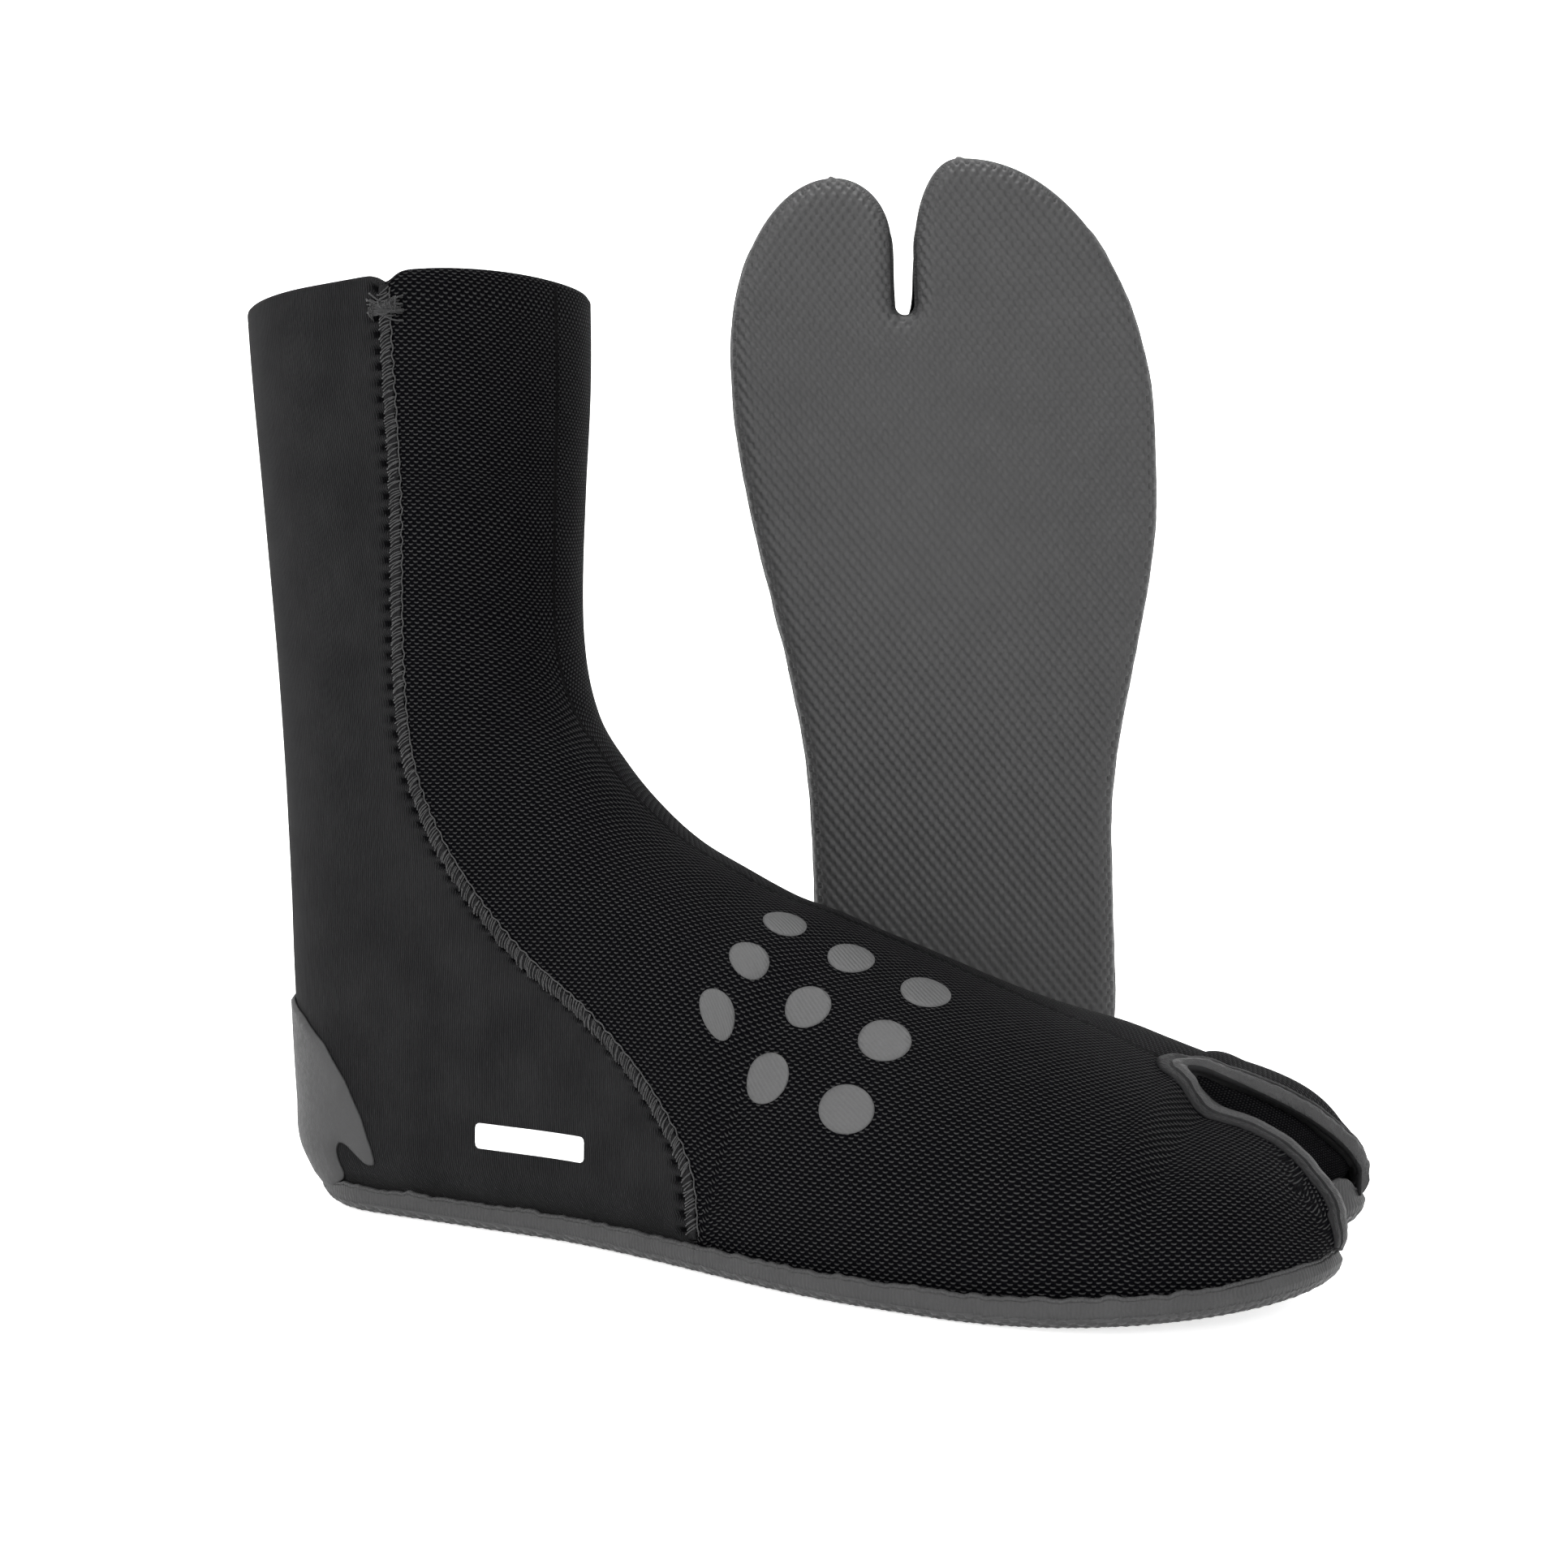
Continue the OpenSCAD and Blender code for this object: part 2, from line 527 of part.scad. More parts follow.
right_outsole();
right_heel_edge();
right_forefoot_edge();
right_heel_patch();
right_heel_panel();
right_front_panel();
right_heel_lining();
right_front_lining();
right_footbed();
right_toe_gusset();
right_split_tape();
right_lateral_seam();
right_medial_seam();
right_lateral_bartack();
right_medial_bartack();
right_instep_print();
right_label();
left_outsole();
left_heel_edge();
left_forefoot_edge();
left_heel_patch();
left_heel_panel();
left_front_panel();
left_heel_lining();
left_front_lining();
left_footbed();
left_toe_gusset();
left_split_tape();
left_lateral_seam();
left_medial_seam();
left_lateral_bartack();
left_medial_bartack();
left_instep_print();
left_label();
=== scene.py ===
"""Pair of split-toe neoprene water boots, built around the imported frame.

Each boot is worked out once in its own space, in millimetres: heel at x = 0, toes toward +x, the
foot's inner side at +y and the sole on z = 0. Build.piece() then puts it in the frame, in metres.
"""
import math

import bmesh
import bpy
import numpy as np
from mathutils import Matrix, Vector
from mathutils.bvhtree import BVHTree
from mathutils.geometry import delaunay_2d_cdt
from mathutils.kdtree import KDTree


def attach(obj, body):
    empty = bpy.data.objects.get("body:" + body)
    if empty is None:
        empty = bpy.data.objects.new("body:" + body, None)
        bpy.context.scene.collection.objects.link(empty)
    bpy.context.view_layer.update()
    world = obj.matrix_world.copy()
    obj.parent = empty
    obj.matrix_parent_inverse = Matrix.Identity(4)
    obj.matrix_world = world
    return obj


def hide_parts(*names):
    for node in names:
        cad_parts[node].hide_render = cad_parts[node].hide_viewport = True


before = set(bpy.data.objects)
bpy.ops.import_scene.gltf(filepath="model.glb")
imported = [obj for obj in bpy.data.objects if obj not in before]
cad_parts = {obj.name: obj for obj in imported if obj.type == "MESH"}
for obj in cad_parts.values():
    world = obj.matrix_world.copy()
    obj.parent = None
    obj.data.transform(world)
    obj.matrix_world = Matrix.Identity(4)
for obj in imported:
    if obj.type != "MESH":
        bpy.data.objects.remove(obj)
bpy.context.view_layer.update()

# ---- sizes, in millimetres ----

FOOT, BIG_TIP = 286.0, 283.0
HEEL_OUTER, HEEL_INNER = 43.0, 44.0
BALL_OUTER, BALL_INNER = 15.0, 17.5
SPLIT_Y, SPLIT_GAP = 11.4, 6.4
SPLIT_START, SOLE_SPLIT_START = 243.0, 243.0
ANKLE_HALF, RIM_HALF = 36.0, 41.0
NEOPRENE = 3.0
LINING_IN, LINING_THICK = 3.5, 0.8
FOOTBED_LOW = 4.05
EDGE_HEIGHT, EDGE_WALL = 8.0, 1.6
ROLL_IN, ROLL_UP = 6.0, 5.0
TOE_OUTER_Y, TOE_INNER_Y = -4.8, 31.0
TOE_OUTER_RUN, TOE_INNER_RUN = 80.0, 52.0
PANEL_INSET, PANEL_FOOT = 2.2, 4.0
SEAM_FOOT = 144.0
SLOT_HALF = 3.4
HEEL_IN, HEEL_CENTRE = 8.0, 40.0
RIM_FALL = 0.08
TOE_LIFT_OUTER, TOE_LIFT_INNER, LIFT_FROM = 7.0, 13.0, 207.0
STITCH = 4.1
LEFT_AT = (103.8, 124.1, 3.52)
LEFT_TURN, LEFT_ROLL, LEFT_LEAN, LEFT_BACK = -66.4, 2.8, 4.5, 25.0

# Stations from the rim to the toe split: seam or sole point x, z, then ridge point x, z.
STATIONS = np.array([
    [47, 243.2, 71.5, 245.6], [47.6, 216, 72, 218], [47.7, 188, 71.5, 190], [47.2, 150, 71.5, 153],
    [50, 121, 77, 133], [58, 101, 87.5, 119], [71, 84, 98.5, 108], [87, 70, 110, 99.5],
    [108, 57, 124, 92.5], [127, 42, 138, 86], [139.5, 25, 151, 82], [144, 4, 163, 77.5],
    [158, 4, 176, 72.7], [178, 4, 189, 67.8], [199, 4, 204, 62.5], [221, 4, 221, 57],
    [232, 4, 232, 52.3], [243, 4, 243, 47.4],
])
SEAM_STATION, LAST_STATION = 11, 17
RIDGE_END = 47.4


# ---- numbers ----

def ease(q):
    c = np.clip(q, 0, 1)
    return c * c * (3 - 2 * c)


def dome(q):
    c = np.clip(q, 0, 1)
    return np.sqrt(1 - (1 - c) ** 2)


def mix(a, b, t):
    return a + (b - a) * t


def station(t):
    t = np.asarray(t, float)
    i = np.clip(np.floor(t).astype(int), 0, LAST_STATION - 1)
    f = (t - i)[..., None]
    a, b, c, d = (STATIONS[np.clip(i + k, 0, LAST_STATION)] for k in (-1, 0, 1, 2))
    r = 0.5 * (2 * b + (c - a) * f + (2 * a - 5 * b + 4 * c - d) * f ** 2 + (3 * b - a - 3 * c + d) * f ** 3)
    r[..., 1] = np.maximum(r[..., 1], PANEL_FOOT)
    return r


def ripple(points, length, seed):
    """Smooth, repeatable unevenness between about -1 and 1, in waves of the given length."""
    draw = np.random.default_rng(seed)
    total = 0
    for _ in range(5):
        way = draw.normal(size=3)
        way *= 2 * math.pi / length * draw.uniform(0.6, 1.5) / np.linalg.norm(way)
        total = total + np.sin(points @ way + draw.uniform(0, 2 * math.pi))
    return total / 3


# ---- shape of the boot ----

def outer_half(x):
    tip = mix(-TOE_OUTER_Y, HEEL_OUTER + BALL_OUTER, dome((FOOT - x) / TOE_OUTER_RUN))
    return np.where(x < FOOT - TOE_OUTER_RUN, HEEL_OUTER + BALL_OUTER * ease((x - 91) / 100), tip)


def inner_half(x):
    tip = mix(TOE_INNER_Y, HEEL_INNER + BALL_INNER, dome((BIG_TIP - x) / TOE_INNER_RUN))
    return np.where(x < BIG_TIP - TOE_INNER_RUN, HEEL_INNER + BALL_INNER * ease((x - 100) / 128), tip)


def foot_half(x, side):
    return np.where(np.asarray(side) < 0, outer_half(x), inner_half(x))


def tip_x(side):
    return np.where(np.asarray(side) < 0, FOOT, BIG_TIP)


def toe_lift(x, y):
    """The toes curl up off the floor, the big toe more than the others."""
    return mix(TOE_LIFT_OUTER, TOE_LIFT_INNER, ease(y / 26)) * np.clip((x - LIFT_FROM) / 79, 0, 1.1) ** 2


def tip_y(side):
    return np.where(np.asarray(side) < 0, TOE_OUTER_Y, TOE_INNER_Y)


def back_x(z):
    h = np.maximum(0, z - 25)
    return (HEEL_IN + PANEL_INSET + 0.2) * np.clip((21 - z) / 17, 0, 1) ** 2.6 - 2.4 * ease(z / 100) - 0.09 * h + 0.00005 * h * h


def wall(x, z, side, d):
    """Half width of the boot's wall at a point of its profile, d inside the outer surface."""
    m = ease((z - 20) / 75) * (1 - ease((x - 70) / 70))
    half = mix(foot_half(x, side) - PANEL_INSET, mix(ANKLE_HALF, RIM_HALF, ease((z - 140) / 100)), m)
    rounding = mix(33, 43, ease((z - 20) / 120))
    return np.maximum(half - d, 0.05) * dome((x - back_x(z) - d) / (rounding - d))


def crown(v, v0):
    return (1 - np.clip((v - v0) / (1 - v0), 0, 1) ** 2.1) ** (1 / 2.1)


def joint_rise(x, u, side):
    """The big toe's joint stands a little higher than the middle line."""
    bell = np.sin(math.pi * np.clip((1 - np.asarray(u, float)) / 0.6, 0, 1)) ** 2
    return (side > 0) * 3.0 * bell * ease((x - 185) / 45) * (1 - ease((x - SPLIT_START) / 30))


def front_point(t, u, side, d):
    """Front panel: t along the stations, u from the seam or sole (0) to the ridge (1)."""
    r = station(t)
    b, i = r[..., :2], r[..., 2:]
    run = np.linalg.norm(i - b, axis=-1)
    v = np.sin(math.pi / 2 * np.asarray(u, float))
    p = b + (i - b) * ((run - d) / run * v)[..., None]
    c = crown(v, 0.02 + 0.2 * ease((np.asarray(t, float) - 7) / 7))
    x, z = p[..., 0], p[..., 1]
    y = side * wall(x, z, side, d) * c + SPLIT_Y * ease((x - 110) / 90) * (1 - c)
    return np.stack([x, y, z + joint_rise(x, u, side)], -1)


def heel_point(t, u, side, d, low=PANEL_FOOT, trim=0.05):
    """Heel panel: t as on the front panel, u from the back (0) to the seam (1)."""
    r = station(t)
    z = np.maximum(r[..., 1], low)
    xb = back_x(z) + d
    x = xb + (r[..., 0] - trim - xb) * (1 - np.cos(math.pi / 2 * np.asarray(u, float)))
    fall = RIM_FALL * (r[..., 0] - x) * (1 - ease(np.asarray(t, float) / 2.2))
    return np.stack([x, side * wall(x, z, side, d), z - fall], -1)


def toe_top(x, side):
    outer, inner = 11 + 30 * dome((FOOT - x) / 58), 11 + 38 * dome((BIG_TIP - x) / 60)
    return mix(RIDGE_END, np.where(np.asarray(side) < 0, outer, inner), ease((x - SPLIT_START) / 10))


def slot_edge(x, side):
    low, high = np.where(np.asarray(side) < 0, 34, 60), SPLIT_Y + side * SLOT_HALF
    open_edge = mix(tip_y(side), high, dome((tip_x(side) - x) / low))
    return mix(SPLIT_Y, open_edge, dome((x - SPLIT_START) / 10))


def toe_outer(x, side, d):
    full = np.where(np.asarray(side) < 0, HEEL_OUTER + BALL_OUTER, HEEL_INNER + BALL_INNER) - side * tip_y(side)
    now = foot_half(x, side) - side * tip_y(side)
    return tip_y(side) + side * np.maximum(0.3, now * (full - PANEL_INSET - d) / full)


def toe_section(x, u, side, d):
    """Toe pocket at a place x of the sole; u runs from the sole (0) over the top to the split (1)."""
    end = tip_x(side)
    share = (x - SPLIT_START) / (end - SPLIT_START)
    b = ease((x - SPLIT_START) / 30)
    over = b * (side > 0)
    a = np.asarray(u, float) * (90 + 36 * over)
    beyond = np.clip((a - 90) / np.maximum(36 * over, 0.001), 0, 1) * math.pi / 2
    a = np.radians(np.minimum(a, 90))
    yo = toe_outer(x, side, d)
    yi = slot_edge(x, side)
    yi = yi + side * np.minimum(d * b, 0.45 * np.abs(yo - yi))
    yc = mix(yi, (yo + yi) / 2, 0.75 * over)
    top = toe_top(x, side) - d
    z = PANEL_FOOT + (top - PANEL_FOOT) * (np.sin(a) - 0.055 * over * (1 - np.cos(beyond)))
    y = yc + (yo - yc) * crown(np.sin(a), 0.22) + (yi - yc) * np.sin(beyond)
    z = z + joint_rise(x, np.degrees(a) / 90, side)
    bulge = 2.0 * ease((z - 6) / 4) * ease((share - 0.86) / 0.14)
    return np.stack([mix(SPLIT_START, end - PANEL_INSET - d, share) + bulge + 0 * y, y, z], -1)


def toe_place(q, side):
    return mix(SPLIT_START, tip_x(side), np.sin(math.pi / 2 * q))


# ---- outline of the sole ----

def bow(x_end, run, y_tip, y_full, angles):
    a = np.radians(angles)
    return np.stack([x_end - run * (1 - np.cos(a)), mix(y_tip, y_full, np.sin(a))], -1)


def straight(half, x0, x1, sign, step=2.0):
    x = np.linspace(x0, x1, max(2, int(abs(x1 - x0) / step)))
    return np.stack([x, sign * half(x)], -1)


def resample(path, step):
    """The same line with points a step apart, softened a little."""
    length = np.concatenate([[0], np.cumsum(np.linalg.norm(np.diff(path, axis=0), axis=1))])
    s = np.linspace(0, length[-1], int(length[-1] / step) + 1)
    return np.stack([np.interp(s, length, path[:, k]) for k in range(path.shape[1])], -1)


def fore_outline(step):
    """From the outer seam round the toes and the split to the inner seam."""
    left, right = SPLIT_Y - SPLIT_GAP / 2, SPLIT_Y + SPLIT_GAP / 2
    turn = np.radians(np.arange(90, 271, 10))
    parts = [
        straight(outer_half, SEAM_FOOT, FOOT - TOE_OUTER_RUN - 1, -1),
        bow(FOOT, TOE_OUTER_RUN, TOE_OUTER_Y, -HEEL_OUTER - BALL_OUTER, np.arange(90, -1, -2)),
        bow(FOOT, 27, TOE_OUTER_Y, left, np.arange(3, 91, 3)),
        np.stack([SOLE_SPLIT_START + 2.8 + 3.2 * np.cos(turn), SPLIT_Y - 3.2 * np.sin(turn)], -1),
        bow(BIG_TIP, 19, TOE_INNER_Y, right, np.arange(90, -1, -3)),
        bow(BIG_TIP, TOE_INNER_RUN, TOE_INNER_Y, HEEL_INNER + BALL_INNER, np.arange(3, 91, 3)),
        straight(inner_half, BIG_TIP - TOE_INNER_RUN - 1, SEAM_FOOT, 1),
    ]
    return resample(np.concatenate(parts), step)


def heel_outline(step):
    back = 33
    parts = [
        straight(inner_half, SEAM_FOOT, HEEL_IN + 34, 1),
        bow(HEEL_IN, -back, 0, HEEL_INNER, np.arange(90, -1, -3)),
        bow(HEEL_IN, -back, 0, -HEEL_OUTER, np.arange(3, 91, 3)),
        straight(outer_half, HEEL_IN + 34, SEAM_FOOT, -1),
    ]
    return resample(np.concatenate(parts), step)


def normals_2d(path):
    t = np.gradient(path, axis=0)
    return np.stack([t[:, 1], -t[:, 0]], -1) / np.linalg.norm(t, axis=1)[:, None]


# Way round the sole's rolled edge: distance walked, and how far in and how high that is.
_turn = np.linspace(0, math.pi / 2, 60)
_roll_in, _roll_z = ROLL_IN * (1 - np.sin(_turn)), ROLL_UP * (1 - np.cos(_turn))
_roll_s = np.concatenate([[0], np.cumsum(np.hypot(np.diff(_roll_in), np.diff(_roll_z)))])
ROLL_LENGTH = _roll_s[-1]


def rolled(s):
    """(inset, height, outward part and upward part of the surface's inward normal) at distance s."""
    a = np.interp(s, _roll_s, _turn)
    inset, z = ROLL_IN * (1 - np.sin(a)), ROLL_UP * (1 - np.cos(a)) + np.maximum(0, s - ROLL_LENGTH)
    nx, nz = -ROLL_UP * np.sin(a), ROLL_IN * np.cos(a)
    n = np.hypot(nx, nz)
    return inset, z, nx / n, nz / n


# ---- meshes ----

def matrix_for(boot):
    if boot == "right":
        return Matrix.Translation((-HEEL_CENTRE, 0, 0))
    turn = Matrix.Rotation(math.radians(LEFT_TURN), 4, "Z") @ Matrix.Rotation(math.radians(LEFT_ROLL), 4, "X")
    lean = Matrix.Rotation(math.radians(LEFT_LEAN - 90), 4, "Y")
    mirror = Matrix.Diagonal((1, -1, 1, 1))
    return Matrix.Translation(LEFT_AT) @ turn @ lean @ Matrix.Translation((0, 0, -LEFT_BACK)) @ mirror


PLACES = {boot: np.array(matrix_for(boot)) for boot in ("right", "left")}


class Build:
    """Vertices, faces, map coordinates and material numbers of one piece, gathered bit by bit."""

    def __init__(self):
        self.points, self.quads, self.tris, self.uv = [], [], [], []
        self.quad_mats, self.tri_mats = [], []
        self.count = 0

    def add(self, points, uv=None):
        flat = np.asarray(points, float).reshape(-1, 3)
        self.points.append(flat)
        self.uv.append(np.zeros((len(flat), 2)) if uv is None else np.asarray(uv, float).reshape(-1, 2))
        start = self.count
        self.count += len(flat)
        return np.arange(start, self.count).reshape(np.asarray(points).shape[:-1])

    def add_quads(self, a, b, c, d, mat=0, flip=False):
        q = np.stack([a, d, c, b] if flip else [a, b, c, d], -1).reshape(-1, 4)
        self.quads.append(q)
        self.quad_mats.append(np.full(len(q), mat))

    def grid(self, idx, flip=False, mat=0, loop=False):
        if loop:
            idx = np.concatenate([idx, idx[:, :1]], 1)
        self.add_quads(idx[:-1, :-1], idx[:-1, 1:], idx[1:, 1:], idx[1:, :-1], mat, flip)

    def strip(self, a, b, flip=False, mat=0):
        """Quads between two equal lines of vertex numbers."""
        self.add_quads(a[:-1], a[1:], b[1:], b[:-1], mat, flip)

    def triangles(self, tris, mat=0):
        self.tris.append(np.asarray(tris).reshape(-1, 3))
        self.tri_mats.append(np.full(len(self.tris[-1]), mat))

    def sheet(self, outer, inner, uv=None, flip=False, edge_mat=0, inner_mat=0):
        """Closed solid between two equal grids of points."""
        o, i = self.add(outer, uv), self.add(inner, uv)
        self.grid(o, flip)
        self.grid(i, not flip, inner_mat)
        for a, b, f in ((o[0], i[0], not flip), (o[-1], i[-1], flip), (o[:, 0], i[:, 0], flip), (o[:, -1], i[:, -1], not flip)):
            self.strip(a, b, f, edge_mat)

    def tube(self, line, radius, sides=5, mat=0):
        """Thin closed tube along a line of points."""
        line = np.asarray(line, float)
        t = np.gradient(line, axis=0)
        t /= np.linalg.norm(t, axis=1)[:, None] + 1e-9
        side = np.cross(t, np.array([0.31, 0.17, 0.94]))
        side /= np.linalg.norm(side, axis=1)[:, None] + 1e-9
        up = np.cross(side, t)
        a = np.linspace(0, 2 * math.pi, sides, endpoint=False)
        r = np.broadcast_to(np.asarray(radius, float).reshape(-1, 1, 1), (len(line), 1, 1))
        ring = line[:, None] + r * (np.cos(a)[None, :, None] * side[:, None] + np.sin(a)[None, :, None] * up[:, None])
        idx = self.add(ring)
        self.grid(idx, loop=True, mat=mat)
        ends = self.add(line[[0, -1]])
        turn = np.roll(idx, -1, 1)
        self.triangles(np.stack([np.full(sides, ends[0]), turn[0], idx[0]], -1), mat)
        self.triangles(np.stack([np.full(sides, ends[1]), idx[-1], turn[-1]], -1), mat)

    def arrays(self):
        quads = np.concatenate(self.quads) if self.quads else np.zeros((0, 4), int)
        tris = np.concatenate(self.tris) if self.tris else np.zeros((0, 3), int)
        mats = np.concatenate(self.quad_mats + self.tri_mats)
        return np.concatenate(self.points), quads, tris, np.concatenate(self.uv), mats

    def piece(self, name, boot, materials, slot, *nodes):
        """Makes the Blender object, puts it in its place in the frame and ties it to its body."""
        points, quads, tris, uv, mats = self.arrays()
        points[:, 2] += toe_lift(points[:, 0], points[:, 1])
        place = PLACES[boot]
        co = (points @ place[:3, :3].T + place[:3, 3]) / 1000
        mesh = bpy.data.meshes.new(name)
        loops = np.concatenate([quads.ravel(), tris.ravel()])
        starts = np.concatenate([np.arange(len(quads)) * 4, len(quads) * 4 + np.arange(len(tris)) * 3])
        mesh.vertices.add(len(co))
        mesh.vertices.foreach_set("co", co.astype(np.float32).ravel())
        mesh.loops.add(len(loops))
        mesh.loops.foreach_set("vertex_index", loops.astype(np.int32))
        mesh.polygons.add(len(starts))
        mesh.polygons.foreach_set("loop_start", starts.astype(np.int32))
        mesh.polygons.foreach_set("material_index", mats.astype(np.int32))
        mesh.polygons.foreach_set("use_smooth", np.ones(len(starts), bool))
        layer = mesh.uv_layers.new(name="cut")
        layer.data.foreach_set("uv", uv[loops].astype(np.float32).ravel())
        mesh.update(calc_edges=True)
        mesh.validate()
        shell = bmesh.new()
        shell.from_mesh(mesh)
        bmesh.ops.recalc_face_normals(shell, faces=shell.faces)
        shell.to_mesh(mesh)
        shell.free()
        for m in materials:
            mesh.materials.append(m)
        obj = bpy.data.objects.new(f"{boot}_{name}", mesh)
        bpy.context.scene.collection.objects.link(obj)
        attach(obj, f"{boot}_boot")
        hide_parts(*[f"{boot}_{n}" for n in nodes])
        return obj


# ---- materials ----

class Graph:
    """A material's node tree, with short ways to add and join nodes."""

    def __init__(self, name, colour, roughness, **inputs):
        self.material = bpy.data.materials.new(name)
        self.material.use_nodes = True
        self.tree = self.material.node_tree
        self.shader = self.tree.nodes["Principled BSDF"]
        self.shader.inputs["Base Color"].default_value = (*colour, 1)
        self.shader.inputs["Roughness"].default_value = roughness
        for socket, value in inputs.items():
            self.shader.inputs[socket.replace("_", " ")].default_value = value

    def node(self, kind, **settings):
        n = self.tree.nodes.new(kind)
        for k, v in settings.items():
            setattr(n, k, v)
        return n

    def put(self, socket, value):
        if isinstance(value, bpy.types.NodeSocket):
            self.tree.links.new(value, socket)
        else:
            socket.default_value = value

    def math(self, operation, *values):
        n = self.node("ShaderNodeMath", operation=operation)
        for socket, value in zip(n.inputs, values):
            self.put(socket, value)
        return n.outputs[0]

    def ramp(self, value, low, high, to_low=0.0, to_high=1.0):
        n = self.node("ShaderNodeMapRange", interpolation_type="SMOOTHSTEP")
        for socket, v in zip(n.inputs, (value, low, high, to_low, to_high)):
            self.put(socket, v)
        return n.outputs[0]

    def cut(self):
        """Flat place on the cloth as it was cut, in millimetres: (across, along)."""
        n = self.node("ShaderNodeSeparateXYZ")
        self.tree.links.new(self.node("ShaderNodeUVMap", uv_map="cut").outputs[0], n.inputs[0])
        return n.outputs[0], n.outputs[1]

    def noise(self, size_mm, detail=2.0, rough=0.5, stretch=(1, 1, 1)):
        """Noise with lumps of about that size on the object itself."""
        place = self.node("ShaderNodeTexCoord").outputs["Object"]
        n = self.node("ShaderNodeMapping")
        n.inputs["Scale"].default_value = tuple(1000 / size_mm * s for s in stretch)
        self.tree.links.new(place, n.inputs[0])
        out = self.node("ShaderNodeTexNoise")
        out.inputs["Scale"].default_value = 1.0
        out.inputs["Detail"].default_value = detail
        out.inputs["Roughness"].default_value = rough
        self.tree.links.new(n.outputs[0], out.inputs["Vector"])
        return out.outputs["Fac"]

    def colour(self, factor, low, high):
        n = self.node("ShaderNodeMix", data_type="RGBA")
        self.put(n.inputs[0], factor)
        self.put(n.inputs[6], (*low, 1))
        self.put(n.inputs[7], (*high, 1))
        self.tree.links.new(n.outputs[2], self.shader.inputs["Base Color"])

    def bump(self, *layers):
        """Layers of (height, depth in millimetres), added up."""
        total = None
        for height, depth in layers:
            part = self.math("MULTIPLY", height, depth)
            total = part if total is None else self.math("ADD", total, part)
        n = self.node("ShaderNodeBump")
        n.inputs["Strength"].default_value = 1.0
        n.inputs["Distance"].default_value = 0.001
        self.tree.links.new(total, n.inputs["Height"])
        self.tree.links.new(n.outputs[0], self.shader.inputs["Normal"])


def grey(v, warm=0.0):
    return (v * (1 + warm), v, v * (1 - warm) + 0.0004)


def mesh_knit(name, column, row, dark, light, depth):
    """Coarse knit: staggered rows of small hanging loops with dark gaps between them. The colour follows the loops'
    height, a painted highlight on the loop tops and painted shade in the gaps, mixed with random mottling.
    """
    g = Graph(name, grey(light), 0.7, Specular_IOR_Level=0.02)
    across, along = g.cut()
    a = g.math("DIVIDE", across, column)
    c = g.math("DIVIDE", along, row)
    j = g.math("ROUND", c)
    wave = g.math("COSINE", g.math("MULTIPLY", g.math("MULTIPLY_ADD", j, 0.5, a), 2 * math.pi))
    off = g.math("ABSOLUTE", g.math("SUBTRACT", g.math("SUBTRACT", c, j), g.math("MULTIPLY", wave, -0.16)))
    strand = g.ramp(off, 0.12, 0.46, 1.0, 0.0)
    reach = g.ramp(wave, -0.85, 0.5, 0.18, 1.0)
    height = g.math("MULTIPLY", strand, reach)
    fuzz = g.noise(0.5, 2)
    broad = g.noise(9, 2)
    # painted highlight on the loop tops and painted shade in the gaps, times random mottling
    painted_light_and_mottle = g.math("MULTIPLY", g.math("POWER", height, 2.6), g.math("MULTIPLY_ADD", fuzz, 1.3, g.math("MULTIPLY_ADD", broad, 0.5, 0.1)))
    g.colour(painted_light_and_mottle, grey(dark), grey(light))
    g.bump((height, depth), (fuzz, 0.12))
    return g.material


def smooth_jersey(name, colour, rib, ribs_deep, lint):
    """Fine-faced jersey: narrow upright ribs, soft mottling and a few specks of lint."""
    g = Graph(name, grey(colour), 0.8, Specular_IOR_Level=0.07)
    across, along = g.cut()
    wander = g.math("MULTIPLY", g.noise(6, 2), 0.5)
    phase = g.math("MULTIPLY", g.math("DIVIDE", g.math("ADD", across, wander), rib), 2 * math.pi)
    ribs = g.math("MULTIPLY_ADD", g.math("COSINE", phase), 0.5, 0.5)
    grain = g.noise(0.45, 3, 0.6)
    broad = g.noise(14, 3)
    dots = g.node("ShaderNodeTexVoronoi", feature="F1")
    place = g.node("ShaderNodeMapping")
    place.inputs["Scale"].default_value = (1000 / 4.5,) * 3
    g.tree.links.new(g.node("ShaderNodeTexCoord").outputs["Object"], place.inputs[0])
    g.tree.links.new(place.outputs[0], dots.inputs["Vector"])
    speck = g.ramp(dots.outputs["Distance"], 0.03, 0.06, lint, 0.0)
    base = g.math("MULTIPLY_ADD", ribs, 0.3, g.math("MULTIPLY_ADD", grain, 0.35, g.math("MULTIPLY", broad, 0.35)))
    g.colour(g.ramp(g.math("ADD", base, speck), 0.25, 0.75, 0.0, 1.0), grey(colour * 0.3), grey(colour * 1.7))
    g.bump((ribs, ribs_deep), (grain, 0.12))
    return g.material


